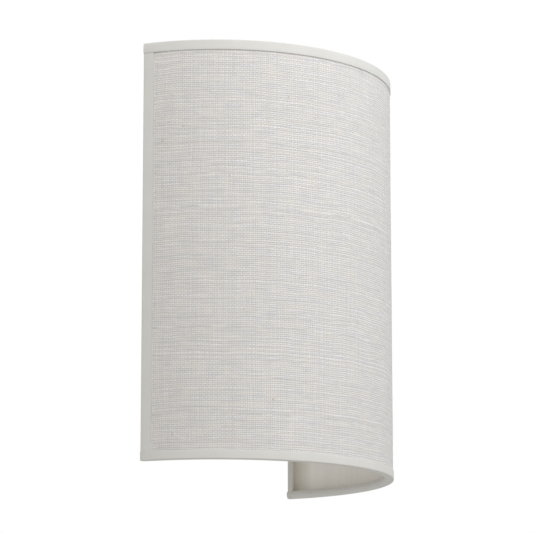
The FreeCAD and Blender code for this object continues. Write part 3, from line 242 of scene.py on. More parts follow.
def linen_finish(settings):
    """Plain weave of slubby yarns: each crossing shows the warp or the weft on top."""
    material, graph = new_material("linen_weave")
    place, along, up = cloth_place(graph)
    pitch = settings.yarn_pitch
    weft_pitch = pitch * WEFT_SPACING
    wander = graph.minus(graph.noise(place, 34.0, 3.0), 0.5)
    drift = graph.minus(graph.noise(graph.vector(up, along, 0.37), 41.0, 3.0), 0.5)
    spread_u = graph.noise(graph.over(along, pitch), 0.83, 1.0, "1D")
    spread_v = graph.noise(graph.over(up, weft_pitch), 0.71, 1.0, "1D")
    warp_at = graph.plus(graph.over(along, pitch), graph.times(wander, 1.5))
    weft_at = graph.plus(graph.over(up, weft_pitch), graph.times(drift, 1.3))
    warp_at = graph.plus(warp_at, graph.times(spread_u, 0.9))
    weft_at = graph.plus(weft_at, graph.times(spread_v, 1.1))
    warp, weft = graph.math("FLOOR", warp_at), graph.math("FLOOR", weft_at)
    warp_round = graph.sine(graph.times(graph.math("FRACT", warp_at), math.pi))
    weft_round = graph.sine(graph.times(graph.math("FRACT", weft_at), math.pi))
    warp_over = graph.math("PINGPONG", graph.plus(warp, weft), 1.0)

    warp_tone = yarn_noise(graph, up, 60.0, warp, 5.17, 0.0, 2.0)
    weft_tone = yarn_noise(graph, along, 85.0, weft, 7.31, 4.0, 3.0)
    warp_high = graph.times(warp_round, graph.plus(0.35, graph.times(weft_round, 0.5)))
    weft_high = graph.times(weft_round, graph.plus(0.45, graph.times(warp_round, 0.55)))
    warp_high = graph.times(warp_high, graph.between(warp_tone, 0.2, 0.8, 0.75, 1.15))
    weft_high = graph.times(weft_high, graph.between(weft_tone, 0.2, 0.8, 0.6, 1.45))
    warp_side = graph.times(warp_high, warp_over)
    weft_side = graph.times(weft_high, graph.minus(1.0, warp_over))
    height = graph.plus(warp_side, weft_side)

    fibres = graph.noise(graph.vector(graph.times(along, 0.35), up), 5200.0, 3.0)
    clouds = graph.noise(place, 14.0, 3.0)
    dashes = yarn_noise(graph, along, 150.0, weft, 3.77, 8.0, 2.0)
    # painted shade in the gaps between the weft yarns, broken into dashes
    gap = graph.math("POWER", graph.minus(1.0, weft_round), 2.0)
    gap = graph.times(gap, graph.between(dashes, 0.35, 0.65, 0.15, 0.75))
    # yarn tops painted lighter by their relief height and the gaps darker: painted weave shade, to which the
    # yarns' own tone is added below
    light = graph.minus(graph.between(height, 0.05, 0.95, 0.0, 0.5), gap)
    contrast = settings.slub_contrast
    shares = ((weft_tone, contrast), (warp_tone, contrast * 0.4), (fibres, 0.12), (clouds, 0.12))
    for part, share in shares:
        light = graph.plus(light, graph.times(part, share))
    colour = tuple(settings.linen_colour)
    base = graph.mixed(graph.between(light, 0.35, 1.05), opaque(colour, 0.755), opaque(colour, 1.09))
    stains = graph.noise(graph.vector(along, graph.times(up, 3.0)), 75.0, 2.0)
    stained = graph.times(graph.between(stains, 0.4, 0.65), 0.6)
    base = graph.mixed(stained, base, graph.mixed(0.5, base, opaque(FLAX_COLOUR)))
    chance = graph.add("ShaderNodeTexWhiteNoise", {"Vector": graph.vector(warp, weft, 2.0)}).outputs["Value"]
    fleck = graph.math("GREATER_THAN", chance, 1.0 - settings.fleck_share)
    base = graph.mixed(graph.times(fleck, 0.34), base, opaque(HUSK_COLOUR))
    relief = graph.plus(height, graph.times(fibres, 0.15))
    end_material(
        graph, base, graph.between(fibres, 0.3, 0.7, 0.82, 0.95), relief, settings.weave_depth,
        Sheen_Weight=0.15, Sheen_Roughness=0.5, Specular_IOR_Level=0.25,
    )
    return material


def tape_finish(settings):
    """Close cotton tape: fine ribs across it, soft mottling and a faint shine."""
    material, graph = new_material("trim_tape_weave")
    place, across, along = cloth_place(graph)
    rib = graph.sine(graph.times(along, 2 * math.pi / RIB_PITCH))
    thread = graph.sine(graph.times(across, 2 * math.pi / TAPE_YARN_PITCH))
    fibres = graph.noise(graph.vector(across, graph.times(along, 0.5)), 3200.0, 3.0)
    clouds = graph.noise(place, 45.0, 4.0)
    height = graph.times(graph.plus(rib, graph.times(thread, 0.6)), 0.5)
    height = graph.plus(height, fibres)
    # the rib relief height is mixed into the tone: painted shade of the ribs, over the tape's own mottling
    tone = graph.plus(graph.times(clouds, 0.6), graph.times(height, 0.2))
    colour = tuple(settings.tape_colour)
    base = graph.mixed(graph.between(tone, 0.15, 0.75), opaque(colour, 0.93), opaque(colour, 1.04))
    end_material(
        graph, base, graph.between(fibres, 0.3, 0.7, 0.6, 0.78), height, 0.03 * MM,
        Sheen_Weight=0.1, Sheen_Roughness=0.4, Specular_IOR_Level=0.35,
    )
    return material


def faded(graph, nearness, power, strength):
    """1 away from an edge, falling smoothly to 1 - strength at it."""
    return graph.minus(1.0, graph.times(graph.math("POWER", nearness, power), strength))


def liner_finish(settings):
    """Matt lining: faint upright streaks of the cloth behind it, and painted shade darkening it near the
    back edges and rims.
    """
    material, graph = new_material("liner_film")
    place, along, up = cloth_place(graph)
    streaks = graph.noise(graph.vector(along, graph.times(up, 0.02)), 520.0, 3.0)
    broad = graph.noise(graph.vector(along, graph.times(up, 0.08)), 60.0, 2.0)
    grain = graph.noise(place, 1900.0, 3.0)
    tone = graph.plus(graph.times(streaks, 0.55), graph.times(broad, 0.3))
    tone = graph.plus(tone, graph.times(grain, 0.15))
    colour = tuple(settings.liner_colour)
    base = graph.mixed(graph.between(tone, 0.3, 0.7), opaque(colour, 0.94), opaque(colour, 1.03))
    # painted shade: the lining darkens towards the back edges and, less, towards the rims, in the corners by
    # the tapes
    side_edge = math.pi * (SHADE_RADIUS - PANEL_DEPTH) / 2 - SIDE_TAPE_WIDTH
    rim_edge = (SHADE_HIGH - SHADE_LOW) / 2 - BOTTOM_TAPE_WIDTH
    shade_near_side = graph.between(graph.math("ABSOLUTE", along), side_edge - PAINTED_SHADE_REACH, side_edge)
    shade_near_rim = graph.between(graph.math("ABSOLUTE", up), rim_edge - PAINTED_SHADE_REACH, rim_edge)
    clear = graph.times(faded(graph, shade_near_side, 1.2, 0.5), faded(graph, shade_near_rim, 1.4, 0.12))
    base = graph.mixed(clear, opaque(PAINTED_SHADE_COLOUR), base)
    relief = graph.plus(graph.times(streaks, 0.8), graph.times(grain, 0.2))
    end_material(
        graph, base, graph.between(grain, 0.3, 0.7, 0.5, 0.62), relief, 0.05 * MM,
        Specular_IOR_Level=0.4,
    )
    return material


def striped_lead_finish(colour, stripe):
    """Two-coloured insulation: the stripe follows the lead's own length."""
    material, graph = new_material("earth_lead_stripe")
    place, round_it, along = cloth_place(graph)
    round_angle = graph.times(round_it, 2 * math.pi / LEAD_GIRTH)
    turn = graph.plus(round_angle, graph.times(along, STRIPE_TWIST))
    side = graph.between(graph.sine(turn), -0.06, 0.06)
    scuffs = graph.noise(place, 900.0, 3.0)
    base = graph.mixed(side, opaque(colour), opaque(stripe))
    base = graph.mixed(graph.between(scuffs, 0.45, 0.9, 0.0, 0.25), base, opaque(colour, 0.6))
    end_material(graph, base, graph.between(scuffs, 0.3, 0.7, 0.32, 0.45), scuffs, 0.01 * MM)
    return material


# ---------------------------------------------------------------- geometry trees
def geometry_tree(name, sizes, counts):
    """An empty tree with a mesh, named sizes and counts and a material going in, and its graph."""
    tree = bpy.data.node_groups.new(name, "GeometryNodeTree")
    tree.interface.new_socket("Geometry", in_out="INPUT", socket_type="NodeSocketGeometry")
    for label in sizes:
        tree.interface.new_socket(label, in_out="INPUT", socket_type="NodeSocketFloat")
    for label in counts:
        tree.interface.new_socket(label, in_out="INPUT", socket_type="NodeSocketInt")
    tree.interface.new_socket("Material", in_out="INPUT", socket_type="NodeSocketMaterial")
    tree.interface.new_socket("Geometry", in_out="OUTPUT", socket_type="NodeSocketGeometry")
    graph = Graph(tree)
    start = graph.add("NodeGroupInput")
    return tree, graph, start.outputs


def end_tree(graph, geometry, material):
    """Every tree makes its instances real, shades them smooth and sets its material."""
    real = graph.geometry("RealizeInstances", {"Geometry": geometry}).outputs[0]
    shaded = graph.geometry("SetShadeSmooth", {"Geometry": real, "Shade Smooth": True}).outputs[0]
    painted = graph.geometry("SetMaterial", {"Geometry": shaded, "Material": material})
    graph.add("NodeGroupOutput", {"Geometry": painted.outputs[0]})


def store_flat(graph, geometry, along, up):
    """Keeps the flat coordinates, in metres, as the piece's own UV map."""
    store = graph.geometry("StoreNamedAttribute", data_type="FLOAT2", domain="CORNER")
    graph.feed(store.inputs["Geometry"], geometry)
    graph.feed(store.inputs["Name"], "flat")
    graph.feed(store.inputs["Value"], graph.vector(along, up))
    return store.outputs[0]


def bent(graph, geometry, radius):
    """Flat geometry in X and Y, with Z its height, bent round the Z axis, its middle to the front."""
    place = graph.parts(graph.spot())
    angle = graph.over(place[0], radius)
    out = graph.plus(radius, place[2])
    x = graph.times(out, graph.sine(angle))
    y = graph.times(graph.times(out, graph.math("COSINE", angle)), -1.0)
    moved = graph.geometry("SetPosition", {"Geometry": geometry})
    graph.feed(moved.inputs["Position"], graph.vector(x, y, place[1]))
    return moved.outputs[0]


def half_round_panel_tree():
    """A flat sheet with a little unevenness and thickness, bent into a half cylinder."""
    sizes = ("Radius", "Width", "Height", "Thickness", "Unevenness")
    tree, graph, given = geometry_tree("Half round panel", sizes, ("Columns", "Rows"))
    grid = graph.geometry("MeshGrid", {
        "Size X": given["Width"], "Size Y": given["Height"],
        "Vertices X": given["Columns"], "Vertices Y": given["Rows"],
    }).outputs["Mesh"]
    spot = graph.spot()
    swell = graph.minus(graph.noise(spot, 26.0, 2.0), 0.5)
    lift = graph.times(swell, given["Unevenness"])
    offset = graph.vector(0.0, 0.0, lift)
    wavy = graph.geometry("SetPosition", {"Geometry": grid, "Offset": offset})
    parts = graph.parts(spot)
    flat = store_flat(graph, wavy.outputs[0], parts[0], parts[1])
    back = graph.geometry("FlipFaces", {"Mesh": flat}).outputs[0]
    raised = graph.geometry("ExtrudeMesh", {
        "Mesh": back, "Offset Scale": given["Thickness"], "Individual": False,
    }, mode="FACES")
    both = graph.geometry("JoinGeometry")
    graph.feed(both.inputs[0], raised.outputs["Mesh"])
    graph.feed(both.inputs[0], flat)
    closed = graph.geometry("MergeByDistance", {
        "Geometry": both.outputs[0], "Distance": 0.01 * MM,
    }).outputs[0]
    end_tree(graph, bent(graph, closed, given["Radius"]), given["Material"])
    return tree


def slub_tree():
    """Thick places in the yarn, strewn along weft and warp, bent with the cloth."""
    sizes = ("Radius", "Width", "Height", "Length", "Thickness", "Density")
    tree, graph, given = geometry_tree("Slubs on a half round panel", sizes, ("Seed",))
    grid = graph.geometry("MeshGrid", {
        "Size X": given["Width"], "Size Y": given["Height"], "Vertices X": 2, "Vertices Y": 2,
    }).outputs["Mesh"]
    nub = graph.geometry("MeshUVSphere", {
        "Segments": 12, "Rings": 7, "Radius": 0.5,
    }).outputs["Mesh"]
    joined = graph.geometry("JoinGeometry")
    for turn, share, step in ((0.0, 1.0, 0), (math.pi / 2, 0.35, 7)):
        strewn = graph.geometry("DistributePointsOnFaces", {"Mesh": grid})
        graph.feed(strewn.inputs["Density"], graph.times(given["Density"], share))
        graph.feed(strewn.inputs["Seed"], graph.plus(given["Seed"], step))
        inputs = {"Seed": step + 1, 2: SHORTEST_SLUB, 3: 1.0}
        stretch = graph.add("FunctionNodeRandomValue", inputs, data_type="FLOAT")
        length = graph.times(given["Length"], stretch.outputs[1])
        size = graph.vector(length, given["Thickness"], graph.times(given["Thickness"], 0.7))
        placed = graph.geometry("InstanceOnPoints", {
            "Points": strewn.outputs["Points"], "Instance": nub, "Rotation": (0.0, 0.0, turn),
            "Scale": size,
        })
        graph.feed(joined.inputs[0], placed.outputs[0])
    real = graph.geometry("RealizeInstances", {"Geometry": joined.outputs[0]})
    parts = graph.parts(graph.spot())
    flat = store_flat(graph, real.outputs[0], parts[0], parts[1])
    end_tree(graph, bent(graph, flat, given["Radius"]), given["Material"])
    return tree


def sweep_tree(name, path_kind):
    """A closed section, drawn by the mesh's edges, swept round an arc, up a line or along a route."""
    sizes = {
        "ARC": ("Radius", "Start", "Sweep"),
        "LINE": ("Low", "High"),
        "ROUTE": ("Diameter",),
    }[path_kind]
    tree, graph, given = geometry_tree(name, sizes, ("Steps",))
    drawn = graph.geometry("MeshToCurve", {"Mesh": given["Geometry"]}).outputs[0]
    section = drawn
    if path_kind == "ARC":
        path = graph.geometry("CurveArc", {
            "Resolution": given["Steps"], "Radius": given["Radius"],
            "Start Angle": given["Start"], "Sweep Angle": given["Sweep"],
        }, mode="RADIUS").outputs["Curve"]
    elif path_kind == "LINE":
        line = graph.geometry("CurvePrimitiveLine", {
            "Start": graph.vector(z=given["Low"]), "End": graph.vector(z=given["High"]),
        }).outputs["Curve"]
        inputs = {"Curve": line, "Count": given["Steps"]}
        path = graph.geometry("ResampleCurve", inputs).outputs[0]
    else:
        path = drawn
        section = graph.geometry("CurvePrimitiveCircle", {
            "Resolution": given["Steps"], "Radius": graph.times(given["Diameter"], 0.5),
        }, mode="RADIUS").outputs["Curve"]
    lengths = []
    for curve in (path, section):
        keep = graph.geometry("CaptureAttribute", domain="POINT")
        keep.capture_items.new("FLOAT", "Length")
        graph.feed(keep.inputs["Geometry"], curve)
        graph.feed(keep.inputs["Length"], graph.geometry("SplineParameter").outputs["Length"])
        lengths.append(keep.outputs)
    normals = "MINIMUM_TWIST" if path_kind == "ROUTE" else "Z_UP"
    upright = graph.geometry("SetCurveNormal", {"Curve": lengths[0]["Geometry"]}, mode=normals)
    swept = graph.geometry("CurveToMesh", {
        "Curve": upright.outputs[0], "Profile Curve": lengths[1]["Geometry"], "Fill Caps": True,
    }).outputs["Mesh"]
    flat = store_flat(graph, swept, lengths[1]["Length"], lengths[0]["Length"])
    end_tree(graph, flat, given["Material"])
    return tree


def grown(name, tree, material, start=None, **sizes):
    """Runs a tree once on its own object and keeps the result as a plain mesh at the origin."""
    source = placed_piece(name + "_source", start or bpy.data.meshes.new(name + "_source"))
    modifier = source.modifiers.new("Build", "NODES")
    modifier.node_group = tree
    values = {key.replace("_", " "): value for key, value in sizes.items()}
    values["Material"] = material
    for item in tree.interface.items_tree:
        if item.in_out == "INPUT" and item.name in values:
            modifier[item.identifier] = values[item.name]
    source.update_tag()
    bpy.context.view_layer.update()
    evaluated = source.evaluated_get(bpy.context.evaluated_depsgraph_get())
    mesh = bpy.data.meshes.new_from_object(evaluated)
    mesh.name = name
    source.modifiers.clear()
    bpy.data.objects.remove(source)
    return placed_piece(name, mesh)


def placed_piece(name, data):
    """An object with the mesh, lamp or camera given, in the scene."""
    piece = bpy.data.objects.new(name, data)
    bpy.context.scene.collection.objects.link(piece)
    return piece


def polyline(name, points, closed=False):
    """A mesh of edges only, for a tree to read as a curve."""
    mesh = bpy.data.meshes.new(name)
    count = len(points)
    edges = [(i, (i + 1) % count) for i in range(count if closed else count - 1)]
    mesh.from_pydata([tuple(p) + (0.0,) * (3 - len(p)) for p in points], edges, [])
    return mesh


def tidy_normals(piece):
    """Faces outward, and the sharp edges left sharp."""
    work = bmesh.new()
    work.from_mesh(piece.data)
    bmesh.ops.remove_doubles(work, verts=work.verts, dist=0.002 * MM)
    bmesh.ops.recalc_face_normals(work, faces=work.faces)
    for edge in work.edges:
        if len(edge.link_faces) == 2:
            edge.smooth = edge.calc_face_angle(0.0) < math.radians(40)
    for face in work.faces:
        face.smooth = True
    work.to_mesh(piece.data)
    work.free()
    return piece


def paint(piece, material):
    piece.data.materials.clear()
    piece.data.materials.append(material)
    return piece


def done(piece, body, slot, *nodes):
    """The piece stands for its CAD nodes and rides with their body."""
    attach(piece, body)
    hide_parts(*nodes)
    return piece


# ---------------------------------------------------------------- sections of the trim tape
def arc_points(centre, radius, start, end, steps):
    """Points of an arc, angles in degrees."""
    points = []
    for i in range(steps + 1):
        angle = math.radians(start + (end - start) * i / steps)
        points.append((centre[0] + radius * math.cos(angle), centre[1] + radius * math.sin(angle)))
    return points


def rim_section(width):
    """Section of a tape folded over a rim: (depth from the outside, distance from the edge)."""
    lip = TAPE_LIP
    points = arc_points((lip, width - lip), lip, 90, 180, 4)
    points += [(0.0, width * 0.7), (0.0, width * 0.4)]
    points += arc_points((TAPE_TURN, TAPE_TURN), TAPE_TURN, 180, 270, 8)
    points += [((TAPE_TURN + WIRE_DEPTH) / 2, 0.0)]
    full = FOLD_RADIUS + FOLD_FULLNESS
    points += arc_points((WIRE_DEPTH + FOLD_FULLNESS, full), full, -90, 90, 18)
    points += [(PANEL_DEPTH - TAPE_SEAT, 2 * full), (PANEL_DEPTH - TAPE_SEAT, width)]
    return points


def side_section():
    """Plan of a side tape on the +X side, from its edge round the back to its tuck."""
    upright_y = BACK_Y - FOLD_RADIUS
    ring = SHADE_RADIUS - WIRE_DEPTH
    upright_x = math.sqrt(ring ** 2 - upright_y ** 2)
    edge_y = BACK_Y - SIDE_TAPE_WIDTH
    turn_y = BACK_Y - TAPE_TURN
    points = []
    for i in range(4):
        y = edge_y + (turn_y - edge_y) * i / 3
        points.append((math.sqrt(SHADE_RADIUS ** 2 - y ** 2), y))
    corner = points[-1][0] - TAPE_TURN, turn_y
    points += arc_points(corner, TAPE_TURN, 0, 90, 8)[1:]
    points += arc_points((upright_x, upright_y), FOLD_RADIUS, 90, 270, 18)
    liner = SHADE_RADIUS - PANEL_DEPTH + TAPE_SEAT
    front_y = upright_y - FOLD_RADIUS
    points.append((math.sqrt(liner ** 2 - front_y ** 2), front_y))
    points.append((math.sqrt(liner ** 2 - edge_y ** 2), edge_y))
    points.append((SHADE_RADIUS - TAPE_LIP, edge_y))
    return points


def swell(piece, amount):
    """Moves a piece's vertices outward from the shade's axis by amount(vertex)."""
    for vertex in piece.data.vertices:
        place = vertex.co
        radius = math.hypot(place.x, place.y)
        if radius > SHADE_RADIUS - PANEL_DEPTH:
            factor = (radius + amount(place)) / radius
            vertex.co = Vector((place.x * factor, place.y * factor, place.z))


def eased(value, low, high):
    """0 below low, 1 above high, and smooth between."""
    t = min(1.0, max(0.0, (value - low) / (high - low)))
    return t * t * (3 - 2 * t)


# ---------------------------------------------------------------- turned pieces
def turned_piece(name, outline, push):
    """A solid turned about the bulb's axis from a closed outline of radius and height.

    What push(height, angle) returns is added to the radius.
    """
    vertices, faces = [], []
    count = len(outline)
    for i in range(TURNED_SIDES):
        angle = 2 * math.pi * i / TURNED_SIDES
        for radius, height in outline:
            r = radius + push(height, angle)
            vertices.append((r * math.cos(angle), BULB_AXIS_Y + r * math.sin(angle), height))
    for i in range(TURNED_SIDES):
        j = (i + 1) % TURNED_SIDES
        for k in range(count):
            m = (k + 1) % count
            faces.append((i * count + k, j * count + k, j * count + m, i * count + m))
    mesh = bpy.data.meshes.new(name)
    mesh.from_pydata(vertices, [], faces)
    return tidy_normals(placed_piece(name, mesh))


def thread_push(low, high, depth, foot, mouth):
    """The thread's wave on the radius. Plain ends stand at the shares foot and mouth of its depth."""
    def push(height, angle):
        begun = eased(height, low, low + THREAD_PITCH / 2)
        ended = eased(height, high - THREAD_PITCH / 2, high)
        wave = math.cos(2 * math.pi * height / THREAD_PITCH - angle)
        return depth * (wave * begun * (1 - ended) + foot * (1 - begun) + mouth * ended)
    return push


def tube_outline(outer, wall, low, high, steps):
    """Closed outline of a thin upright tube, with enough points for a thread."""
    up = [(outer, low + (high - low) * i / steps) for i in range(steps + 1)]
    down = [(outer - wall, high - (high - low) * i / steps) for i in range(steps + 1)]
    return up + down


# ---------------------------------------------------------------- leads
# Corners of the leads' routes, as the part's source sets them, in metres.
HOLDER_ROUTE = (
    (-0.017, -0.0072, -0.029), (-0.018, -0.0092, -0.058), (-0.015, -0.0212, -0.078),
    (-0.006, -0.0376, -0.086), (-0.002, -0.06, -0.082), (-0.002, -0.06, -0.0562),
    (-0.0045, -0.06, -0.0507), (-0.0045, -0.06, -0.0462),
)
LEAD_ROUTES = {
    "live_lead": ((0.0, -0.0072, 0.0145), (0.0, -0.0072, -0.0015), *HOLDER_ROUTE),
    "neutral_lead": (
        (0.012, -0.0072, 0.0145), (0.012, -0.0072, -0.0015), *((-x, y, z) for x, y, z in HOLDER_ROUTE),
    ),
    "earth_lead": (
        (-0.012, -0.0072, 0.0145), (-0.012, -0.0072, 0.0055), (-0.02599, -0.00455, -0.01269),
        (-0.03325, -0.00455, -0.02524),
    ),
}


def rounded_route(points, share=0.45, steps=10):
    """Straight runs joined by tangent arcs, as a dense line of points."""
    route = [Vector(points[0])]
    for before, point, after in zip(points, points[1:], points[2:]):
        point = Vector(point)
        back, on = Vector(before) - point, Vector(after) - point
        reach = share * min(back.length, on.length)
        start, end = point + back.normalized() * reach, point + on.normalized() * reach
        turn = math.pi - back.angle(on)
        radius = reach / math.tan(turn / 2)
        inward = (back.normalized() + on.normalized()).normalized()
        middle = point + inward * (radius / math.cos(turn / 2))
        first, last = start - middle, end - middle
        for i in range(steps + 1):
            done_part = turn * i / steps
            share_first, share_last = math.sin(turn - done_part), math.sin(done_part)
            route.append(middle + (first * share_first + last * share_last) / math.sin(turn))
    route.append(Vector(points[-1]))
    return route


# ---------------------------------------------------------------- settings
def colour_setting(name, description, colour):
    return FloatVectorProperty(
        name=name, description=description, subtype="COLOR", size=3, min=0.0, max=1.0, default=colour)


def length_setting(name, description, shortest, longest, length):
    return FloatProperty(
        name=name, description=description, subtype="DISTANCE", min=shortest, max=longest,
        default=length)


def power_setting(name, description, power):
    return FloatProperty(name=name, description=description, min=0.0, default=power)


class WALLLIGHT_PG_shade(bpy.types.PropertyGroup):
    linen_colour: colour_setting("Linen", "Colour of the linen yarn", (0.815, 0.808, 0.81))
    tape_colour: colour_setting("Tape", "Colour of the trim tape", (0.735, 0.735, 0.71))
    liner_colour: colour_setting("Liner", "Colour of the lining", (0.97, 0.95, 0.91))
    yarn_pitch: length_setting("Yarn pitch", "Distance from yarn to yarn", 0.0005, 0.005, 1.4 * MM)
    weave_depth: length_setting("Weave depth", "Relief of the yarns", 0.0, 0.002, 0.24 * MM)
    slub_contrast: FloatProperty(
        name="Slub contrast", description="How much the yarns vary along their length",
        subtype="FACTOR", min=0.0, max=1.0, default=0.45)
    slub_density: FloatProperty(
        name="Slubs", description="Thick places in the yarn for each square metre",
        min=0.0, max=20000.0, default=4200.0)
    slub_length: length_setting("Slub length", "Longest slub", 0.001, 0.03, 9.0 * MM)
    slub_thickness: length_setting("Slub thickness", "Thickness of a slub", 0.0001, 0.003, 0.95 * MM)
    fleck_share: FloatProperty(
        name="Flecks", description="Share of the yarn crossings with a husk fleck", subtype="FACTOR",
        min=0.0, max=0.1, default=0.0004)
    unevenness: length_setting(
        "Unevenness", "How far the cloth strays from a true cylinder", 0.0, 0.002, 0.35 * MM)
    seed: IntProperty(name="Seed", description="Chooses where the slubs lie", min=0, default=11)


class WALLLIGHT_PG_fitting(bpy.types.PropertyGroup):
    enamel_colour: colour_setting(
        "Enamel", "Powder coat of the wall plate and bracket", (0.80, 0.80, 0.775))
    holder_colour: colour_setting("Lampholder", "Moulding of the lampholder", (0.82, 0.82, 0.80))
    lead_diameter: length_setting("Lead diameter", "Over the insulation", 0.001, 0.006, 2.2 * MM)
    thread_depth: length_setting(
        "Thread depth", "Half the height of the lamp thread's wave", 0.0, 0.001, 0.45 * MM)


class WALLLIGHT_PG_stage(bpy.types.PropertyGroup):
    floor_drop: length_setting(
        "Floor", "How far the floor lies below the shade's middle", 0.2, 5.0, 2.4)
    camera_place: FloatVectorProperty(
        name="Camera", description="Where the camera stands", subtype="TRANSLATION", size=3,
        default=(-1.7258, -0.8173, -0.3721))
    camera_heading: FloatProperty(
        name="Heading", description="Turn of the camera from the wall's normal", subtype="ANGLE",
        default=math.radians(-65.64))
    camera_pitch: FloatProperty(
        name="Pitch", description="How far the camera looks up", subtype="ANGLE",
        default=math.radians(11.32))
    lens: FloatProperty(
        name="Lens", description="Focal length in millimetres", min=20.0, max=500.0, default=188.9)
    key_power: power_setting("Key light", "Power in watts", 15.2)
    top_power: power_setting("Top light", "Power in watts", 7.1)
    bounce_power: power_setting("Bounced light", "Power in watts of the light off the floor", 1.6)
    sky: FloatProperty(
        name="Surroundings", description="Light from all round", min=0.0, max=3.0, default=0.54)


# ---------------------------------------------------------------- operators
def panel_size(radius):
    """Width and height of a panel rolled out at a radius, clear of the tapes' turns."""
    width = 2 * radius * math.asin(1.0) - 4 * TAPE_THICKNESS
    height = SHADE_HIGH - SHADE_LOW - 4 * TAPE_THICKNESS
    return width, height


def shade_settings():
    return bpy.context.scene.wall_light_shade


def fitting_settings():
    return bpy.context.scene.wall_light_fitting


class WALLLIGHT_OT_linen(bpy.types.Operator):
    """Makes the linen panel and the slubs in its yarns"""
    bl_idname = "walllight.linen"
    bl_label = "Linen panel"

    def execute(self, context):
        settings = shade_settings()
        weave = linen_finish(settings)
        radius = SHADE_RADIUS - TAPE_THICKNESS - 0.02 * MM
        width, height = panel_size(radius)
        cloth = grown(
            "linen_panel", half_round_panel_tree(), weave, Radius=radius, Width=width, Height=height,
            Thickness=CLOTH_THICKNESS, Unevenness=settings.unevenness, Columns=170, Rows=120,
        )
        slubs = grown(
            "linen_slubs", slub_tree(), weave, Radius=radius - 0.3 * MM, Width=width - 14 * MM,
            Height=height - 13 * MM, Length=settings.slub_length, Thickness=settings.slub_thickness,
            Density=settings.slub_density, Seed=settings.seed,
        )
        done(cloth, "shade", "linen", "shade_fabric")
        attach(slubs, "shade")
        return {"FINISHED"}


class WALLLIGHT_OT_liner(bpy.types.Operator):
    """Makes the lining inside the linen"""
    bl_idname = "walllight.liner"
    bl_label = "Liner"

    def execute(self, context):
        radius = SHADE_RADIUS - TAPE_THICKNESS - CLOTH_THICKNESS
        width, height = panel_size(radius)
        liner = grown(
            "liner_panel", half_round_panel_tree(), liner_finish(shade_settings()), Radius=radius,
            Width=width, Height=height, Thickness=LINER_THICKNESS, Unevenness=0.1 * MM,
            Columns=130, Rows=60,
        )
        done(liner, "shade", "liner", "shade_liner")
        return {"FINISHED"}


class WALLLIGHT_OT_tapes(bpy.types.Operator):
    """Folds the trim tapes over the rims and the back edges"""
    bl_idname = "walllight.tapes"
    bl_label = "Trim tapes"

    def execute(self, context):
        finish = tape_finish(shade_settings())
        round_rim = sweep_tree("Tape round a rim", "ARC")
        up_side = sweep_tree("Tape up a side", "LINE")
        self.rim_tape("top_trim_tape", round_rim, finish, 1, TOP_TAPE_WIDTH, "top_tape")
        self.rim_tape("bottom_trim_tape", round_rim, finish, -1, BOTTOM_TAPE_WIDTH, "bottom_tape")
        self.side_tape("left_trim_tape", up_side, finish, -1, "left_tape")
        self.side_tape("right_trim_tape", up_side, finish, 1, "right_tape")
        return {"FINISHED"}

    def rim_tape(self, name, tree, finish, end, width, node):
        edge = SHADE_HIGH if end == 1 else -SHADE_LOW
        section = [(-depth, -(edge - distance)) for depth, distance in rim_section(width)]
        gap = math.asin(-BACK_Y / SHADE_RADIUS)
        tape = grown(
            name, tree, finish, polyline(name + "_section", section, True),
            Radius=SHADE_RADIUS, Start=-math.pi + gap, Sweep=math.pi - 2 * gap, Steps=180,
        )
        if end == -1:
            for vertex in tape.data.vertices:
                vertex.co.z = -vertex.co.z
        near = BACK_Y - SIDE_TAPE_WIDTH
        for vertex in tape.data.vertices:
            depth = SHADE_RADIUS - math.hypot(vertex.co.x, vertex.co.y)
            if depth > WIRE_DEPTH:
                slim = 2 * FOLD_FULLNESS * eased(vertex.co.y, near, BACK_Y)
                factor = (SHADE_RADIUS - depth + slim) / (SHADE_RADIUS - depth)
                vertex.co = Vector((vertex.co.x * factor, vertex.co.y * factor, vertex.co.z))
        if end == 1:
            swell(tape, lambda p: TAPE_OVERLAP * eased(p.y, near - 10 * MM, near)
                  * (1 - eased(p.z, SHADE_HIGH - 2 * MM, SHADE_HIGH)))
        done(tidy_normals(tape), "shade", "trim_tape", node)

    def side_tape(self, name, tree, finish, side, node):
        section = [(side * x, y) for x, y in side_section()]
        high = SHADE_HIGH - TOP_TAPE_WIDTH + 1.5 * MM
        tape = grown(
            name, tree, finish, polyline(name + "_section", section, True),
            Low=SHADE_LOW + TAPE_TUCK, High=high - TAPE_TUCK, Steps=140,
        )
        turn = SHADE_LOW + BOTTOM_TAPE_WIDTH
        swell(tape, lambda p: TAPE_OVERLAP * (1 - eased(p.z, turn, turn + 5 * MM))
              * (1 - eased(p.y, BACK_Y - 2 * MM, BACK_Y)))
        done(tidy_normals(tape), "shade", "trim_tape", node)


class WALLLIGHT_OT_frame(bpy.types.Operator):
    """Finishes the shade's wire frame and hanging bar"""
    bl_idname = "walllight.frame"
    bl_label = "Shade frame"

    def execute(self, context):
        coat = plain_finish(
            "white_dipped_wire", SLOT_COLOURS["frame_wire"], 0.42, mottle=0.03, mottle_scale=120.0,
            grain=0.02 * MM, grain_scale=700.0,
        )
        for node in ("top_ring", "bottom_ring", "left_upright", "right_upright", "hanging_bar"):
            paint(frame["nodes"][node], coat)
        return {"FINISHED"}


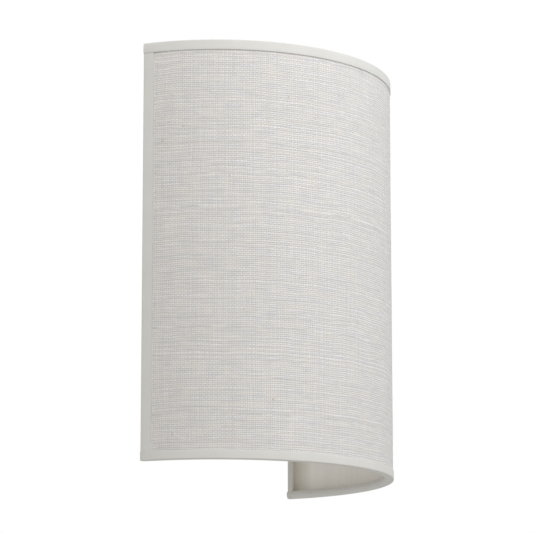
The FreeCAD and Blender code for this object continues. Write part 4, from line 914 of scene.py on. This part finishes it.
class WALLLIGHT_OT_fitting(bpy.types.Operator):
    """Finishes the wall plate, the bracket and their small parts"""
    bl_idname = "walllight.fitting"
    bl_label = "Wall fitting"

    def execute(self, context):
        enamel = tuple(fitting_settings().enamel_colour)
        groups = (
            (plain_finish("powder_coat", enamel, 0.45, mottle=0.025, mottle_scale=300.0,
                          grain=0.03 * MM, grain_scale=900.0),
             "white_enamel", ("wall_plate", "lampholder_bracket")),
            (plain_finish("bush_rubber", (0.035, 0.035, 0.037), 0.72, mottle=0.25, mottle_scale=200.0,
                          grain=0.03 * MM, grain_scale=1100.0),
             "grommet_rubber", ("cable_grommet",)),
            (plain_finish("milky_nylon", (0.80, 0.79, 0.73), 0.38, mottle=0.05, mottle_scale=90.0,
                          grain=0.02 * MM, grain_scale=800.0, Subsurface_Weight=0.35,
                          Subsurface_Radius=(0.004, 0.0036, 0.003), Subsurface_Scale=1.0),
             "clear_nylon", ("terminal_block",)),
            (plain_finish("turned_brass", (0.72, 0.53, 0.25), 0.27, mottle=0.12, mottle_scale=140.0,
                          grain=0.008 * MM, grain_scale=2400.0, stretch=(1.0, 1.0, 6.0), Metallic=1.0),
             "brass", ("terminal_barrels", "holder_terminals", "centre_contact", "side_contact")),
            (plain_finish("zinc_plate", (0.60, 0.61, 0.62), 0.34, mottle=0.10, mottle_scale=180.0,
                          grain=0.01 * MM, grain_scale=2000.0, stretch=(1.0, 4.0, 1.0), Metallic=1.0),
             "zinc_steel", ("terminal_screws", "terminal_fixing_screws", "earth_washer", "earth_screw",
                            "bracket_screws", "bracket_nuts", "threaded_nipple", "nipple_nut",
                            "toothed_washer", "holder_terminal_screws")),
            (plain_finish("tinned_copper", (0.66, 0.64, 0.60), 0.3, mottle=0.08, mottle_scale=260.0,
                          grain=0.01 * MM, grain_scale=1800.0, Metallic=1.0),
             "tinned_copper", ("ring_terminal",)),
        )
        for finish, slot, nodes in groups:
            for node in nodes:
                paint(frame["nodes"][node], finish)
        return {"FINISHED"}


class WALLLIGHT_OT_leads(bpy.types.Operator):
    """Runs the three insulated leads inside the light"""
    bl_idname = "walllight.leads"
    bl_label = "Inner leads"

    def execute(self, context):
        tree = sweep_tree("Round lead", "ROUTE")
        plain = (
            ("live_lead", "brown_lead", (0.15, 0.062, 0.028)),
            ("neutral_lead", "blue_lead", (0.03, 0.12, 0.42)),
        )
        for node, slot, colour in plain:
            finish = plain_finish(
                slot + "_sleeve", colour, 0.36, mottle=0.12, mottle_scale=150.0, grain=0.012 * MM)
            self.lead(tree, node, slot, finish)
        striped = striped_lead_finish((0.13, 0.36, 0.05), (0.80, 0.66, 0.04))
        self.lead(tree, "earth_lead", "earth_lead", striped)
        return {"FINISHED"}

    def lead(self, tree, node, slot, finish):
        route = rounded_route(LEAD_ROUTES[node])
        piece = grown(
            node + "_sleeve", tree, finish, polyline(node + "_route", route),
            Diameter=fitting_settings().lead_diameter, Steps=18,
        )
        done(tidy_normals(piece), "wall_fitting", slot, node)


class WALLLIGHT_OT_lampholder(bpy.types.Operator):
    """Finishes the lampholder and rolls the thread into its shell"""
    bl_idname = "walllight.lampholder"
    bl_label = "Lampholder"

    def execute(self, context):
        moulding = plain_finish(
            "thermoset_moulding", tuple(fitting_settings().holder_colour), 0.28, mottle=0.03,
            mottle_scale=70.0, grain=0.012 * MM, grain_scale=600.0, Coat_Weight=0.2, Coat_Roughness=0.15,
        )
        for node in ("lampholder_cap", "lampholder_body"):
            paint(frame["nodes"][node], moulding)
        ceramic = plain_finish(
            "bisque_ceramic", SLOT_COLOURS["holder_core"], 0.8, mottle=0.05, mottle_scale=220.0,
            grain=0.05 * MM, grain_scale=1300.0,
        )
        paint(frame["nodes"]["lampholder_core"], ceramic)
        nickel = plain_finish(
            "shell_nickel", (0.70, 0.64, 0.50), 0.26, mottle=0.10, mottle_scale=160.0,
            grain=0.008 * MM, grain_scale=2200.0, stretch=(1.0, 1.0, 5.0), Metallic=1.0,
        )
        low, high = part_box("lampholder_shell")
        outer = (high.x - low.x) / 2
        hole = outer - SHELL_FLOOR
        depth = fitting_settings().thread_depth
        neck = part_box("bulb_housing")[0].z
        tube = tube_outline(outer - depth, THREADED_WALL, low.z + THREADED_WALL, high.z, 120)
        outline = [(hole, low.z), (outer - depth, low.z)] + tube + [(hole, low.z + THREADED_WALL)]
        push = thread_push(low.z + SHELL_FOOT, neck, depth, 0, 1)
        shell = turned_piece("threaded_shell", outline, push)
        done(paint(shell, nickel), "wall_fitting", "brass", "lampholder_shell")
        return {"FINISHED"}


class WALLLIGHT_OT_bulb(bpy.types.Operator):
    """Finishes the bulb and rolls the thread into its cap"""
    bl_idname = "walllight.bulb"
    bl_label = "Bulb"

    def execute(self, context):
        metal = plain_finish(
            "plated_cap", (0.72, 0.72, 0.72), 0.22, mottle=0.06, mottle_scale=150.0,
            grain=0.006 * MM, grain_scale=2400.0, stretch=(1.0, 1.0, 5.0), Metallic=1.0,
        )
        vitrite = plain_finish(
            "dark_glass", (0.012, 0.012, 0.014), 0.12, mottle=0.3, mottle_scale=160.0,
            grain=0.01 * MM, grain_scale=500.0, Coat_Weight=0.5,
        )
        body = plain_finish(
            "bulb_housing_plastic", (0.84, 0.84, 0.83), 0.4, mottle=0.02, mottle_scale=60.0,
            grain=0.015 * MM, grain_scale=1200.0,
        )
        opal = plain_finish(
            "opal_globe", (0.86, 0.86, 0.84), 0.35, mottle=0.02, mottle_scale=35.0,
            grain=0.01 * MM, grain_scale=900.0, Subsurface_Weight=0.6,
            Subsurface_Radius=(0.006, 0.006, 0.005), Subsurface_Scale=1.0, Coat_Weight=0.15,
        )
        board = plain_finish(
            "board_resist", (0.80, 0.80, 0.78), 0.42, mottle=0.05, mottle_scale=400.0,
            grain=0.02 * MM, grain_scale=1500.0,
        )
        nodes = frame["nodes"]
        paint(nodes["bulb_end_contact"], metal)
        paint(nodes["bulb_cap_insulator"], vitrite)
        paint(nodes["bulb_housing"], body)
        paint(nodes["bulb_globe"], opal)
        paint(nodes["led_board"], board)
        paint(nodes["driver_board"], board)
        low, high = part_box("bulb_cap")
        outer = (high.x - low.x) / 2
        depth = fitting_settings().thread_depth
        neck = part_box("bulb_housing")[0].z
        outline = tube_outline(outer - depth, THREADED_WALL, low.z, high.z, 130)
        push = thread_push(low.z + CAP_FOOT, neck, depth, -1, 1)
        cap = turned_piece("threaded_cap", outline, push)
        done(paint(cap, metal), "bulb", "bulb_metal", "bulb_cap")
        return {"FINISHED"}


def area_light(name, place, target, size, power, colour=WHITE):
    """A square soft light aimed at a point."""
    data = bpy.data.lights.new(name, "AREA")
    data.shape = "SQUARE"
    data.size = size
    data.energy = power
    data.color = colour
    lamp = placed_piece(name, data)
    lamp.location = place
    lamp.rotation_mode = "QUATERNION"
    lamp.rotation_quaternion = (Vector(target) - Vector(place)).to_track_quat("-Z", "Y")


class WALLLIGHT_OT_stage(bpy.types.Operator):
    """Sets the floor, the soft light and the camera"""
    bl_idname = "walllight.stage"
    bl_label = "Stage"

    def execute(self, context):
        settings = context.scene.wall_light_stage
        self.floor(settings)
        self.surroundings(settings)
        middle = (0.0, -0.06, 0.0)
        area_light("key_light", (0.25, -1.5, 1.15), middle, 1.1, settings.key_power, COOL_WHITE)
        area_light("top_light", (-0.75, -0.5, 0.95), (-0.05, -0.05, 0.1), 0.6, settings.top_power)
        area_light("bounce_light", (-0.45, -0.4, -1.15), middle, 0.5, settings.bounce_power)
        self.camera(settings)
        return {"FINISHED"}

    def floor(self, settings):
        mesh = bpy.data.meshes.new("floor")
        work = bmesh.new()
        bmesh.ops.create_circle(work, cap_ends=True, segments=96, radius=6.0)
        work.to_mesh(mesh)
        work.free()
        floor = placed_piece("floor", mesh)
        floor.location.z = -settings.floor_drop
        paint(floor, plain_finish(
            "pale_floor", (0.8, 0.8, 0.8), 0.7, mottle=0.01, mottle_scale=3.0, grain=0.1 * MM,
            grain_scale=60.0))

    def surroundings(self, settings):
        """White behind the object, and softer white as light."""
        world = bpy.data.worlds.new("studio")
        world.use_nodes = True
        graph = Graph(world.node_tree)
        seen = graph.add("ShaderNodeLightPath").outputs["Is Camera Ray"]
        strength = graph.between(seen, 0.0, 1.0, settings.sky, 1.0)
        colour = graph.mixed(seen, opaque(WARM_WHITE), opaque(WHITE))
        shine = graph.add("ShaderNodeBackground", {"Color": colour, "Strength": strength})
        graph.add("ShaderNodeOutputWorld", {"Surface": shine.outputs[0]})
        bpy.context.scene.world = world
        bpy.context.scene.view_settings.view_transform = "Standard"

    def camera(self, settings):
        data = bpy.data.cameras.new("camera")
        data.lens = settings.lens
        data.sensor_width = 36.0
        data.clip_start, data.clip_end = 0.05, 50.0
        camera = placed_piece("camera", data)
        heading, pitch = settings.camera_heading, settings.camera_pitch
        level = Vector((-math.sin(heading), math.cos(heading), 0.0))
        look = level * math.cos(pitch) + Vector((0.0, 0.0, math.sin(pitch)))
        camera.location = settings.camera_place
        camera.rotation_mode = "QUATERNION"
        camera.rotation_quaternion = look.to_track_quat("-Z", "Y")
        bpy.context.scene.camera = camera


OPERATORS = (
    WALLLIGHT_OT_liner, WALLLIGHT_OT_tapes, WALLLIGHT_OT_linen, WALLLIGHT_OT_frame,
    WALLLIGHT_OT_fitting, WALLLIGHT_OT_leads, WALLLIGHT_OT_lampholder, WALLLIGHT_OT_bulb,
    WALLLIGHT_OT_stage,
)


class WALLLIGHT_PT_panel(bpy.types.Panel):
    """Settings of the wall light, and its operators in order"""
    bl_idname = "WALLLIGHT_PT_panel"
    bl_label = "Fabric shade wall light"
    bl_space_type = "VIEW_3D"
    bl_region_type = "UI"
    bl_category = "Wall light"

    def draw(self, context):
        scene = context.scene
        for group in (scene.wall_light_shade, scene.wall_light_fitting, scene.wall_light_stage):
            box = self.layout.box()
            for key in group.__annotations__:
                box.prop(group, key)
        for operator in OPERATORS:
            self.layout.operator(operator.bl_idname)


GROUPS = (
    ("wall_light_shade", WALLLIGHT_PG_shade),
    ("wall_light_fitting", WALLLIGHT_PG_fitting),
    ("wall_light_stage", WALLLIGHT_PG_stage),
)


def register():
    for name, group in GROUPS:
        bpy.utils.register_class(group)
        setattr(bpy.types.Scene, name, PointerProperty(type=group))
    for kind in (*OPERATORS, WALLLIGHT_PT_panel):
        bpy.utils.register_class(kind)


def unregister():
    for kind in (WALLLIGHT_PT_panel, *reversed(OPERATORS)):
        bpy.utils.unregister_class(kind)
    for name, group in reversed(GROUPS):
        delattr(bpy.types.Scene, name)
        bpy.utils.unregister_class(group)


def main():
    register()
    for operator in OPERATORS:
        area, call = operator.bl_idname.split(".")
        getattr(getattr(bpy.ops, area), call)()


if __name__ == "__main__":
    main()
